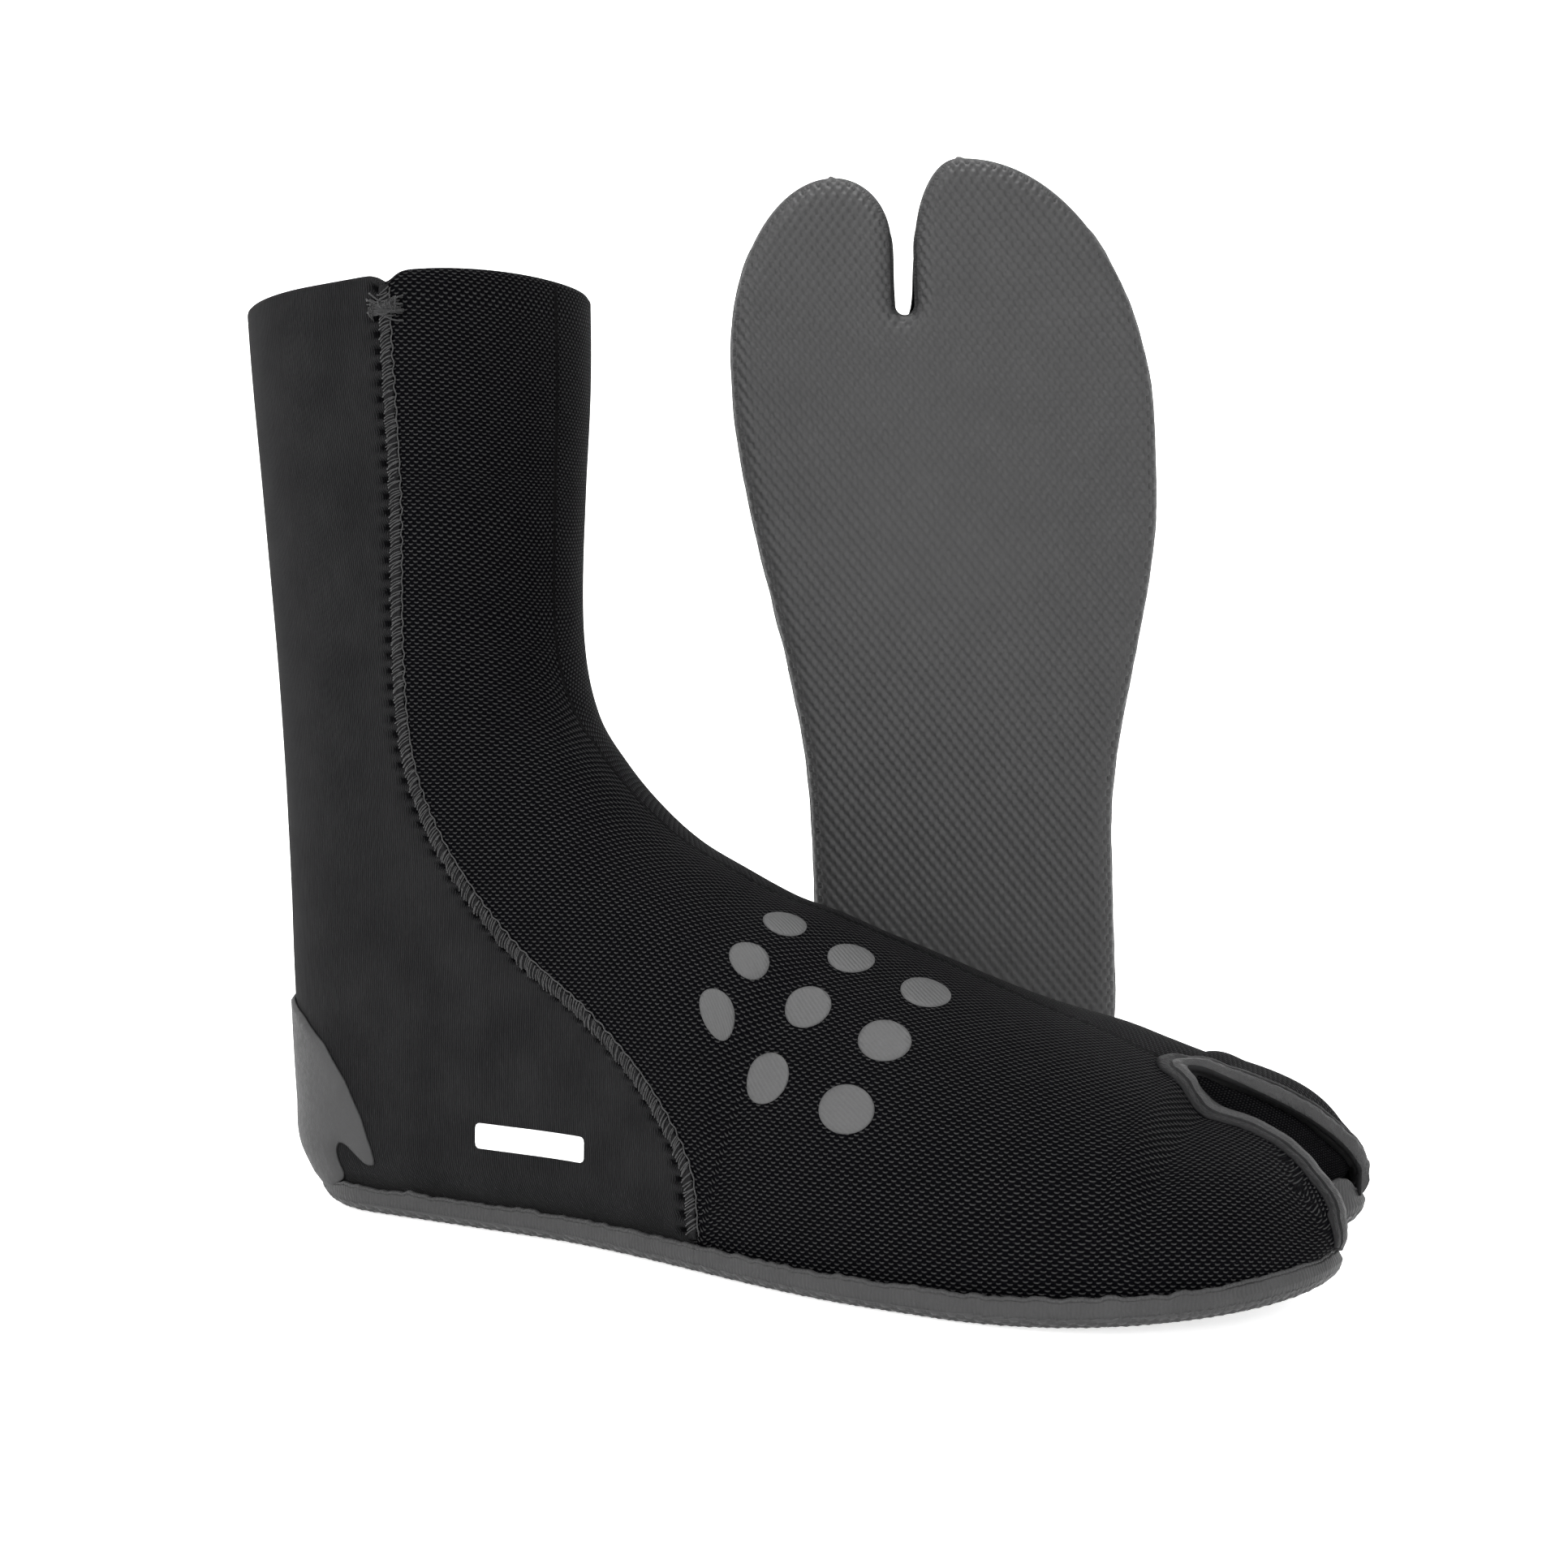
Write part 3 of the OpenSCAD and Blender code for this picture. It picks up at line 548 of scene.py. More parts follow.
def rubber(name, colour, roughness, mottle=0.3, grain_mm=0.8, deep=0.05, rib=0, rib_deep=0.0, specular=0.5):
    """Cured rubber: soft grain and cloudiness, with fine ribs across the edge where asked for."""
    g = Graph(name, grey(colour), roughness, Specular_IOR_Level=specular)
    grain = g.noise(grain_mm, 3, 0.55)
    cloud = g.noise(12, 3)
    fine = g.noise(0.3, 2)
    tone = g.math("MULTIPLY_ADD", cloud, 0.6, g.math("MULTIPLY", grain, 0.4))
    layers = [(grain, deep), (fine, deep * 0.4)]
    if rib:
        across, _ = g.cut()
        wander = g.math("MULTIPLY", g.noise(3, 2), rib * 1.6)
        phase = g.math("MULTIPLY", g.math("DIVIDE", g.math("ADD", across, wander), rib), 2 * math.pi)
        ribs = g.math("MULTIPLY_ADD", g.math("COSINE", phase), 0.5, 0.5)
        layers.append((ribs, rib_deep))
        tone = g.math("MULTIPLY_ADD", ribs, 0.12, tone)
    g.colour(tone, grey(colour * (1 - mottle)), grey(colour * (1 + mottle)))
    rough = g.ramp(grain, 0.3, 0.75, roughness - 0.07, roughness + 0.08)
    g.put(g.shader.inputs["Roughness"], rough)
    g.bump(*layers)
    return g.material


def thread(name, colour):
    g = Graph(name, grey(colour), 0.6, Specular_IOR_Level=0.25, Sheen_Weight=0.1)
    fuzz = g.noise(0.25, 2)
    g.colour(fuzz, grey(colour * 0.4), grey(colour * 1.7))
    g.bump((fuzz, 0.08))
    return g.material


def foam(name, colour):
    g = Graph(name, grey(colour), 0.85, Specular_IOR_Level=0.15)
    cells = g.noise(0.35, 3, 0.7)
    g.colour(cells, grey(colour * 0.4), grey(colour * 1.6))
    g.bump((cells, 0.15))
    return g.material


def brushed(name, colour):
    """Short-pile lining cloth."""
    g = Graph(name, grey(colour), 0.9, Specular_IOR_Level=0.05, Sheen_Weight=0.05, Sheen_Roughness=0.4)
    pile = g.noise(0.6, 3, 0.65)
    broad = g.noise(10, 2)
    g.colour(g.math("MULTIPLY_ADD", pile, 0.6, g.math("MULTIPLY", broad, 0.4)), grey(colour * 0.4), grey(colour * 1.6))
    g.bump((pile, 0.3))
    return g.material


def printed(name, colour, roughness, rows):
    """Flat printed film with a faint woven emboss from the cloth under it."""
    g = Graph(name, grey(colour), roughness, Specular_IOR_Level=0.4)
    across, along = g.cut()
    line = g.math("ADD", g.math("MULTIPLY", across, 0.5), along)
    emboss = g.math("MULTIPLY_ADD", g.math("COSINE", g.math("MULTIPLY", line, 2 * math.pi / rows)), 0.5, 0.5)
    grain = g.noise(0.7, 3, 0.6)
    g.colour(g.math("MULTIPLY_ADD", grain, 0.8, g.math("MULTIPLY", emboss, 0.2)), grey(colour * 0.75), grey(colour * 1.25))
    g.bump((emboss, 0.06), (grain, 0.1))
    return g.material


KNIT = mesh_knit("knit_face", 2.2, 0.87, 0.0002, 0.026, 0.6)
GUSSET_KNIT = mesh_knit("gusset_knit_face", 1.3, 0.6, 0.001, 0.014, 0.3)
JERSEY = smooth_jersey("jersey_face", 0.0074, 0.66, 0.28, 2.0)
# near-black copy of the jersey: painted shade for the faces the stitches draw in
JERSEY_PAINTED_SHADE = smooth_jersey("jersey_tuck_painted_shade", 0.0008, 0.66, 0.1, 0.0)
SOLE = rubber("sole_rubber_face", 0.025, 0.5, 0.22, 0.6, 0.06, specular=0.22)
# near-black dull rubber for the recessed crossings of the sole: painted shade in the recesses
SOLE_PIT_SHADE = rubber("sole_pit_painted_shade", 0.003, 0.8, 0.3, 0.6, 0.06, specular=0.05)
EDGE = rubber("edge_rubber_face", 0.023, 0.6, 0.4, 0.9, 0.12, 1.0, 0.12, specular=0.2)
PATCH = rubber("patch_rubber_face", 0.03, 0.65, 0.3, 1.6, 0.2, specular=0.2)
TAPE = rubber("tape_rubber_face", 0.0045, 0.6, 0.35, 0.9, 0.2, specular=0.12)
TAPE_FACE = rubber("tape_worn_face", 0.017, 0.5, 0.9, 1.8, 0.6, specular=0.25)
THREAD = thread("stitch_thread", 0.02)
KNOT = thread("knot_thread", 0.006)
GLUE = rubber("seam_glue", 0.005, 0.8, 0.5, 0.5, 0.25, specular=0.1)
FOAM = foam("foam_cut", 0.01)
LINING = brushed("lining_pile", 0.01)
FOOTBED = brushed("footbed_cloth", 0.02)
PRINT = printed("print_film", 0.034, 0.6, 1.1)
LABEL = printed("label_film", 0.9, 0.6, 1.1)


# ---- upper ----

def flatten(points, start, way):
    """Lays a curved grid of points flat, close to its true lengths, and gives each point's place."""
    across = np.concatenate([np.zeros((len(points), 1)), np.cumsum(np.linalg.norm(np.diff(points, axis=1), axis=2), 1)], 1)
    return start[:, None] + across[..., None] * way[:, None]


def relax(points, flat, rounds=500):
    """Moves the flat places so that neighbours end up as far apart as on the curved grid."""
    rows = np.unique(np.linspace(0, len(points) - 1, 46).astype(int))
    cols = np.unique(np.linspace(0, points.shape[1] - 1, 14).astype(int))
    solid, f = points[np.ix_(rows, cols)], flat[np.ix_(rows, cols)].copy()
    pairs = [((slice(None, -1), slice(None)), (slice(1, None), slice(None))),
             ((slice(None), slice(None, -1)), (slice(None), slice(1, None))),
             ((slice(None, -1), slice(None, -1)), (slice(1, None), slice(1, None))),
             ((slice(None, -1), slice(1, None)), (slice(1, None), slice(None, -1)))]
    lengths = [np.linalg.norm(solid[a] - solid[b], axis=-1) for a, b in pairs]
    for _ in range(rounds):
        push, share = np.zeros_like(f), np.full(f.shape[:2], 1e-9)
        for (a, b), length in zip(pairs, lengths):
            gap = f[b] - f[a]
            now = np.linalg.norm(gap, axis=-1) + 1e-9
            move = gap * (0.5 * (now - length) / now)[..., None]
            push[a] += move
            push[b] -= move
            share[a] += 1
            share[b] += 1
        f += push / share[..., None]
    r, c = np.arange(len(points)), np.arange(points.shape[1])
    wide = np.stack([[np.interp(c, cols, row[:, k]) for row in f] for k in (0, 1)], -1)
    return np.stack([np.stack([np.interp(r, rows, wide[:, j, k]) for j in range(len(c))], 1) for k in (0, 1)], -1)


def dip(points):
    """The rim sinks a little where the two panels meet."""
    seam_x = station(np.zeros(1))[0, 0]
    near = np.exp(-((points[..., 0] - seam_x) / 3.0) ** 2) * ease((points[..., 2] - 232) / 9)
    out = points.copy()
    out[..., 2] -= 2.2 * near
    return out


def settle(points, boot):
    """Small unevenness of soft panels: shallow waves, none near the sole."""
    seed = 11 if boot == "right" else 23
    free = ease((points[..., 2] - 12) / 40)
    out = points.copy()
    out[..., 1] += 0.45 * ripple(points, 70, seed) * free * np.tanh(points[..., 1] / 12)
    out[..., 0] += 0.35 * ripple(points, 80, seed + 1) * free
    return out


FRONT_ROWS = np.linspace(0, LAST_STATION, 241)
TOE_ROWS = np.linspace(0, 1, 61)[1:]
FRONT_COLS = np.linspace(0, 1, 52)


def front_half(side, d):
    """Rows of points of one half of the front panel, from the rim to the toe tips."""
    t, u = np.meshgrid(FRONT_ROWS, FRONT_COLS, indexing="ij")
    depth = d + 0.7 * (1 - dome(t / 0.05)) * (1 if d == 0 else -1)
    upper = front_point(t, u, side, depth)
    q, w = np.meshgrid(TOE_ROWS, FRONT_COLS, indexing="ij")
    return np.concatenate([upper, toe_section(toe_place(q, side), w, side, d)])


def front_flat(points):
    """Where each point of one half lies on the flat cut panel."""
    r = np.concatenate([station(FRONT_ROWS), np.repeat(station(np.array([17.0])), len(TOE_ROWS), 0)])
    r[len(FRONT_ROWS):, 0] = points[len(FRONT_ROWS):, 0, 0]
    r[len(FRONT_ROWS):, 2] = r[len(FRONT_ROWS):, 0]
    way = r[:, 2:] - r[:, :2]
    way /= np.linalg.norm(way, axis=1)[:, None]
    return relax(points, flatten(points, r[:, :2], way))


def front_panel(boot):
    b = Build()
    shared = len(FRONT_ROWS) - 1
    layers = []
    for d in (0, NEOPRENE):
        halves = [dip(settle(front_half(side, d), boot)) for side in (-1, 1)]
        layers.append(halves)
    flats = [front_flat(h) for h in layers[0]]
    idx = [[b.add(layers[k][h], flats[h] + (0, 37 * h)) for h in (0, 1)] for k in (0, 1)]
    for k in (0, 1):
        idx[k][1][:shared + 1, -1] = idx[k][0][:shared + 1, -1]
    for h in (0, 1):
        o, i = idx[0][h], idx[1][h]
        flip = h == 1
        b.grid(o, flip)
        b.grid(i, not flip, 1)
        b.strip(o[0], i[0], not flip, 1)
        b.strip(o[-1], i[-1], flip, 1)
        b.strip(o[:, 0], i[:, 0], flip, 1)
        b.strip(o[shared:, -1], i[shared:, -1], not flip, 1)
    return b


def seam_walk():
    """Distance along the seam at fine steps of t."""
    t = np.linspace(0, SEAM_STATION, 1200)
    p = heel_point(t, np.ones_like(t), -1, 0)
    return t, np.concatenate([[0], np.cumsum(np.linalg.norm(np.diff(p, axis=0), axis=1))])


SEAM_T, SEAM_S = seam_walk()


def scallop(s, away):
    """How deep the heel panel is drawn in by the stitches, at distance s along and away from the seam."""
    phase = (s / STITCH) % 1.0
    pull = ease((phase - 0.32) / 0.4) * (1 - ease((phase - 0.86) / 0.12))
    belt = np.exp(-((away - 2.9) / 1.6) ** 2)
    puff = np.exp(-((away - 3.0) / 2.0) ** 2) * np.sin(math.pi * np.clip(phase / 0.45, 0, 1))
    return 2.2 * pull * belt - 0.4 * puff


def heel_grid(side, d, stitched):
    s_rows = np.linspace(0, SEAM_S[-1], 600)
    t = np.interp(s_rows, SEAM_S, SEAM_T)
    near = np.arange(0, 8.1, 0.55)
    r = station(t)
    run = r[:, 0] - back_x(r[:, 1])
    share_near = 1 - near[None] / run[:, None]
    u_near = np.arccos(1 - np.clip(share_near, 0, 1)) / (math.pi / 2)
    u_far = u_near[:, -1:] * np.linspace(0, 1, 26)[None, :-1]
    u = np.concatenate([u_far, u_near[:, ::-1]], 1)
    x_away = run[:, None] * np.cos(u * math.pi / 2)
    depth = d + (scallop(s_rows[:, None], x_away) if stitched else 0)
    depth = depth + 0.7 * (1 - dome(s_rows / 1.4))[:, None] * (1 if d == 0 else -1)
    tt = np.broadcast_to(t[:, None], u.shape)
    return heel_point(tt, u, side, depth)


def painted_shade_tucks(shape):
    """Faces of the heel panel that the stitches draw in out of the light; they get a near-black jersey as painted
    shade.
    """
    s = np.linspace(0, SEAM_S[-1], 600)
    away = np.concatenate([np.full(25, 99.0), np.arange(0, 8.1, 0.55)[::-1]])
    deep = scallop(s[:, None], np.concatenate([away[::-1], away[1:]])[None]) > 0.6
    return deep[:-1, :-1] & deep[1:, 1:]


def heel_panel(boot):
    b = Build()
    grids = []
    for d, stitched in ((0, True), (NEOPRENE, False)):
        left, right = heel_grid(-1, d, stitched), heel_grid(1, d, stitched)
        grids.append(dip(settle(np.concatenate([left[:, ::-1], right[:, 1:]], 1), boot)))
    g = grids[0]
    middle = g.shape[1] // 2
    arc = np.concatenate([np.zeros((len(g), 1)), np.cumsum(np.linalg.norm(np.diff(g, axis=1), axis=2), 1)], 1)
    arc -= arc[:, middle:middle + 1]
    b.sheet(g, grids[1], np.stack([arc, g[..., 2]], -1), flip=True, edge_mat=1, inner_mat=1)
    # faces drawn in by the stitches take the near-black jersey, a painted shade
    b.quad_mats[0] = np.where(painted_shade_tucks(g.shape).ravel(), 2, 0)
    return b


def lining_grid(kind, d):
    if kind == "front":
        t, u = np.meshgrid(np.linspace(0.12, LAST_STATION - 0.5, 120), np.linspace(0.03, 1, 26), indexing="ij")
        left, right = front_point(t, u, -1, d), front_point(t, u, 1, d)
        return np.concatenate([left, right[:, -2::-1]], 1)
    t, u = np.meshgrid(np.linspace(0.12, SEAM_STATION, 100), np.linspace(0, 1, 22), indexing="ij")
    left, right = heel_point(t, u, -1, d, 6.2, 0.4), heel_point(t, u, 1, d, 6.2, 0.4)
    return np.concatenate([left[:, ::-1], right[:, 1:]], 1)


def lining(boot, kind):
    b = Build()
    outer = dip(settle(lining_grid(kind, LINING_IN), boot))
    inner = dip(settle(lining_grid(kind, LINING_IN + LINING_THICK), boot))
    inner[0, :, 2] -= 0.4
    b.sheet(outer, inner, flip=kind == "heel")
    return b


# ---- seams ----

def seam_frame(side, s, away, lift, boot):
    """Point at distance s along a seam, away from it toward the toes, and lifted off the surface."""
    t = np.interp(s, SEAM_S, SEAM_T)
    r, ahead = station(t)[..., :2], station(np.minimum(t + 0.02, SEAM_STATION))[..., :2]
    behind = station(np.maximum(t - 0.02, 0))[..., :2]
    way = ahead - behind
    way /= np.linalg.norm(way, axis=-1)[..., None]
    p = r + np.stack([-way[..., 1], way[..., 0]], -1) * np.asarray(away)[..., None]
    y = side * wall(p[..., 0], p[..., 1], side, -np.asarray(lift))
    return dip(settle(np.stack([p[..., 0], y, p[..., 1]], -1), boot))


def seam(boot, side):
    b = Build()
    draw = np.random.default_rng(5 + (side > 0) + 2 * (boot == "left"))
    end = np.interp(EDGE_HEIGHT + 0.5, station(SEAM_T)[::-1, 1], SEAM_S[::-1])
    s = np.linspace(1.2, end, 620)
    across = np.linspace(-1.25, 1.25, 9)
    ss, aa = np.meshgrid(s, across, indexing="ij")
    phase = (ss / STITCH) % 1.0
    body = 0.35 + 0.5 * np.sqrt(np.clip(1 - (aa / 1.3) ** 2, 0, 1)) * (0.55 + 0.45 * np.sin(math.pi * phase))
    body += 0.10 * np.sin(ss * 5.1 + aa * 3) + 0.06 * np.sin(ss * 11.7 - aa * 5)
    aa = aa + 0.18 * np.sin(2 * math.pi * phase)
    b.sheet(seam_frame(side, ss, aa, body, boot), seam_frame(side, ss, aa, body * 0 - 0.4, boot), flip=side < 0)
    for k in range(int((end - 2) / STITCH)):
        base = 2.0 + k * STITCH
        for j in range(5):
            at = base + (j + draw.uniform(-0.25, 0.25)) * STITCH / 5
            if at > end - 2.2:
                continue
            left, right = -1.7 + draw.uniform(-0.3, 0.5), 1.7 + draw.uniform(-0.5, 0.3)
            w = np.linspace(0, 1, 7)
            line_s = at + 1.6 * (1 - w) + draw.uniform(-0.5, 0.5) * w
            lift = 0.05 + 1.0 * np.sin(math.pi * (0.12 + 0.76 * w)) + draw.uniform(-0.15, 0.1)
            line = seam_frame(side, np.clip(line_s, 1, end), mix(left, right, w), lift, boot)
            b.tube(line, draw.uniform(0.12, 0.19), 4, 1)
    run = np.arange(2.5, end - 0.5, 0.5)
    zig = 2.15 - 0.45 * np.abs(((run / STITCH) % 1) * 2 - 1) + 0.1 * np.sin(run * 1.7)
    b.tube(seam_frame(side, run, zig, 0.35 + 0.12 * np.sin(run * 2 * math.pi / STITCH), boot), 0.17, 5, 1)
    return b


def bartack(boot, side):
    """Short dense knot of crossing threads that locks the seam just below the rim."""
    b = Build()
    draw = np.random.default_rng(31 + (side > 0) + 2 * (boot == "left"))
    w = np.linspace(0, 1, 11)
    hump = np.sin(math.pi * w) ** 0.5
    for k in range(34):
        at = 8.6 + draw.normal(0, 1.2)
        left, right = -4.6 + draw.uniform(-1.0, 1.4), 4.8 + draw.uniform(-1.8, 1.2)
        lift = 0.15 + (0.7 + draw.uniform(0, 0.6)) * hump
        slant = draw.uniform(-2.6, 2.6)
        line_s = at + slant * (w - 0.5) + draw.uniform(0.1, 0.5) * np.sin(w * draw.uniform(4, 9) + k)
        b.tube(seam_frame(side, line_s, mix(left, right, w), lift, boot), draw.uniform(0.13, 0.24), 5)
    for k in range(15):
        at = draw.uniform(-4.4, 4.8)
        line_s = 6.4 + draw.uniform(-0.8, 0.8) + draw.uniform(3.4, 5.4) * w
        lift = 0.4 + (0.9 + draw.uniform(0, 0.4)) * hump
        away = at + draw.uniform(-1.2, 1.2) * (w - 0.5) + 0.35 * np.sin(w * 5 + k)
        b.tube(seam_frame(side, line_s, away, lift, boot), draw.uniform(0.12, 0.22), 5)
    return b


# ---- rubber edge and sole ----

SOLE_REACH = 7.2


def edge_top(path, lobes):
    x, y = path[:, 0], path[:, 1]
    inside = lobes * (x < FOOT - 5) * (x > SOLE_SPLIT_START - 4) * (y > TOE_OUTER_Y) * (y < TOE_INNER_Y)
    big = ease((y - SPLIT_Y) / 3) * ease((x - 256) / 12) * (1 - ease((y - 24) / 6)) * lobes
    h = np.where(inside, 6.5 + 2.0 * ease((x - 255) / 20), EDGE_HEIGHT)
    h = h + 5.0 * big
    h = np.where(lobes, h, mix(5.0, EDGE_HEIGHT, ease((x - 20) / 14)))
    kernel = np.ones(9) / 9
    return np.convolve(np.pad(h, 4, "edge"), kernel, "valid")


def edge(boot, path, lobes, seed):
    """Rubber edge: rolls up from the sole, stands up the side and ends in an uneven bead."""
    n = normals_2d(path)
    s = np.concatenate([[0], np.cumsum(np.linalg.norm(np.diff(path, axis=0), axis=1))])
    flat = np.column_stack([path, np.zeros(len(path))])
    h = edge_top(path, lobes) + 0.28 * ripple(flat, 9, seed) + 0.22 * ripple(flat, 3.2, seed + 1)
    bulge = 0.12 * ripple(flat, 14, seed + 2)
    rows = []
    for walk, deep in ((4.0, 0.9), (4.2, 0.5), (SOLE_REACH - 1.6, 0.08), (SOLE_REACH, 0.06), (SOLE_REACH + 1.2, 0.0), (ROLL_LENGTH, 0.0)):
        inset, z, nx, nz = rolled(walk)
        rows.append((np.full(len(path), inset - nx * deep), np.full(len(path), z + nz * deep)))
    low = np.full(len(path), ROLL_UP)
    tuck = 1.5 * ease((path[:, 0] - 262) / 16) if lobes else 0.0 * low
    for share, out in ((0.3, 0.05), (0.6, 0.1), (0.78, 0.05)):
        rows.append((tuck * share - out - bulge, mix(low, h, share)))
    bead = 1 if lobes else ease((path[:, 0] - 33) / 8)
    rows.append((tuck - 0.22 * bead - bulge, h - 0.9))
    rows.append((tuck - 0.42 * bead - bulge, h - 0.5))
    rows.append((tuck - 0.22 * bead - bulge, h - 0.12))
    rows.append((tuck + 0.25 + 0 * h, h))
    rows.append((tuck + 0.9 + 0 * h, h - 0.1))
    rows.append((tuck + EDGE_WALL + 0.2 + 0 * h, h - 0.7))
    rows.append((EDGE_WALL + 0.2 + 0 * h, low - 1.4))
    rows.append((ROLL_IN + 0.2 + 0 * h, low - 1.8))
    rows.append((ROLL_IN + 0.2 + 0 * h, low - 4.0))
    ring = np.stack([np.column_stack([path - n * inset[:, None], z]) for inset, z in rows], 1)
    b = Build()
    walk = np.cumsum(np.concatenate([[0], np.linalg.norm(np.diff(ring[5], axis=0), axis=1)]))
    uv = np.stack(np.broadcast_arrays(s[:, None], walk[None]), -1)
    idx = b.add(ring, uv)
    b.grid(idx, loop=True)
    for row, flip in ((idx[0], False), (idx[-1], True)):
        fan = np.stack([np.full(len(row) - 2, row[0]), row[2:], row[1:-1]], -1)
        b.triangles(fan[:, ::-1] if flip else fan)
    return b


PAD_X, PAD_Y = 3.04, 2.03
PIT = 0.7


def sole_lattice(boot):
    """Underside of the sole: staggered pads with small recessed crossings, rolling up round the edge. The recessed
    crossings get a darker rubber as painted shade.
    """
    outline = np.concatenate([fore_outline(0.4), heel_outline(0.4)[1:-1]])
    closed = np.concatenate([outline[-1:], outline, outline[:1]])
    n = normals_2d(closed)[1:-1]
    flat_edge = outline - ROLL_IN * n
    # grid lines across the foot at the edges of pads and pits, three lines along for each row
    xs_count = int((FOOT + 20) / PAD_Y)
    along = (np.arange(-4, xs_count)[:, None] * PAD_Y + np.array([0.18, 1.015, 1.85])).ravel()
    row_no = np.repeat(np.arange(-4, xs_count), 3)
    ring = np.tile([1, 0, 2], xs_count + 4)
    offs = np.array([0.0, 0.62, 0.90, 1.52, 2.14, 2.42])
    across = (np.arange(-25, 26)[:, None] * PAD_X + offs).ravel()
    X, Y = np.meshgrid(along, across, indexing="ij")
    shift = (row_no % 2)[:, None] * PAD_X / 2
    q = np.abs((Y + shift + PAD_X / 2) % PAD_X - PAD_X / 2)
    pad = 1 - ease((q - 0.80) / 0.22)
    centre = (ring == 0)[:, None]
    height = np.where(centre, mix(-PIT, 0, pad), mix(-PIT * 0.75, -0.10, pad))
    height = height + np.where(centre, 0.05, 0) * (q < 0.3)
    flatp = np.stack([X, Y], -1).reshape(-1, 2)
    tree = KDTree(len(flat_edge))
    for i, p in enumerate(flat_edge):
        tree.insert((*p, 0), i)
    tree.balance()
    near = np.array([tree.find((*p, 0))[1] for p in flatp])
    gap = flatp - flat_edge[near]
    s = (gap * n[near]).sum(1)
    slide = gap - s[:, None] * n[near]
    s, near = s.reshape(X.shape), near.reshape(X.shape)
    depth = -height * (1 - ease((s - SOLE_REACH + 2.2) / 2.0))
    deep = depth > 0.62 * PIT
    worn = np.exp(-(((X - 175) / 45) ** 2 + ((Y - 2) / 36) ** 2)) + np.exp(-(((X - 45) / 34) ** 2 + (Y / 26) ** 2))
    depth = depth * (1 - 0.35 * np.clip(worn, 0, 1))

    def lay(deep):
        inset, z, nx, nz = rolled(np.maximum(s, 0))
        base = outline[near] + slide.reshape(*X.shape, 2)
        out = base - n[near] * (inset - nx * deep)[..., None]
        xy = np.where((s > 0)[..., None], out, np.stack([X, Y], -1))
        zz = np.where(s > 0, z + nz * deep, deep)
        return np.concatenate([xy, zz[..., None]], -1)

    keep = (s[:-1, :-1] < SOLE_REACH) & (s[1:, 1:] < SOLE_REACH) & (s[:-1, 1:] < SOLE_REACH) & (s[1:, :-1] < SOLE_REACH)
    b = Build()
    top, back = lay(depth), lay(np.full(X.shape, 0.9))
    uv = np.stack([Y, X], -1)
    o, i = b.add(top, uv), b.add(back, uv)
    cells = np.argwhere(keep)
    r, c = cells[:, 0], cells[:, 1]
    # cells lying deep in a crossing take the darker rubber, a painted shade
    pit_shade_cells = deep[:-1, :-1] & deep[1:, :-1] & deep[:-1, 1:] & deep[1:, 1:]
    for mat in (0, 1):
        rr, cc = r[pit_shade_cells[r, c] == mat], c[pit_shade_cells[r, c] == mat]
        b.add_quads(o[rr, cc], o[rr, cc + 1], o[rr + 1, cc + 1], o[rr + 1, cc], mat)
    b.add_quads(i[r, c], i[r + 1, c], i[r + 1, c + 1], i[r, c + 1])
    edges = {}
    for r0, c0, r1, c1 in ((0, 0, 0, 1), (0, 1, 1, 1), (1, 1, 1, 0), (1, 0, 0, 0)):
        for a, bb in zip(o[r + r0, c + c0], o[r + r1, c + c1]):
            if (bb, a) in edges:
                del edges[(bb, a)]
            else:
                edges[(a, bb)] = True
    shift = i[0, 0] - o[0, 0]
    rim = np.array(list(edges))
    b.add_quads(rim[:, 1], rim[:, 0], rim[:, 0] + shift, rim[:, 1] + shift)
    return b


# ---- toe split ----

def split_line(side):
    """Upper edge of the toe opening on one side, from the split's rear end to the toe tips."""
    nose = SPLIT_START + 10 * (1 - np.cos(np.radians(np.arange(0, 90, 5))))
    rest = mix(SPLIT_START + 10, tip_x(side) - 0.15, np.sin(np.linspace(0, math.pi / 2, 46)))
    return np.concatenate([nose, rest])


def split_points(side, u, d):
    x = split_line(side)
    return toe_section(x, np.full_like(x, u), side, d)


def smooth_line(line, rounds=2):
    for _ in range(rounds):
        line[1:-1] = (line[:-2] + 2 * line[1:-1] + line[2:]) / 4
    return line


def run_down(line, inner):
    """Continues a line at both ends down the front of the toes to the rubber edge."""
    low = 7.0
    ends = []
    for tip in (line[0], line[-1]):
        top = tip + ((3.0, 0, 3.0) if inner else (0, 0, 0))
        drop = np.linspace(0, max(top[2] - low, 1.0), 9)[1:]
        down = np.stack([top[0] - (3.0 if inner else 0) + 0 * drop, top[1] + 0 * drop, top[2] - drop], -1)
        ends.append(down)
    return np.concatenate([ends[0][::-1], line, ends[1]])


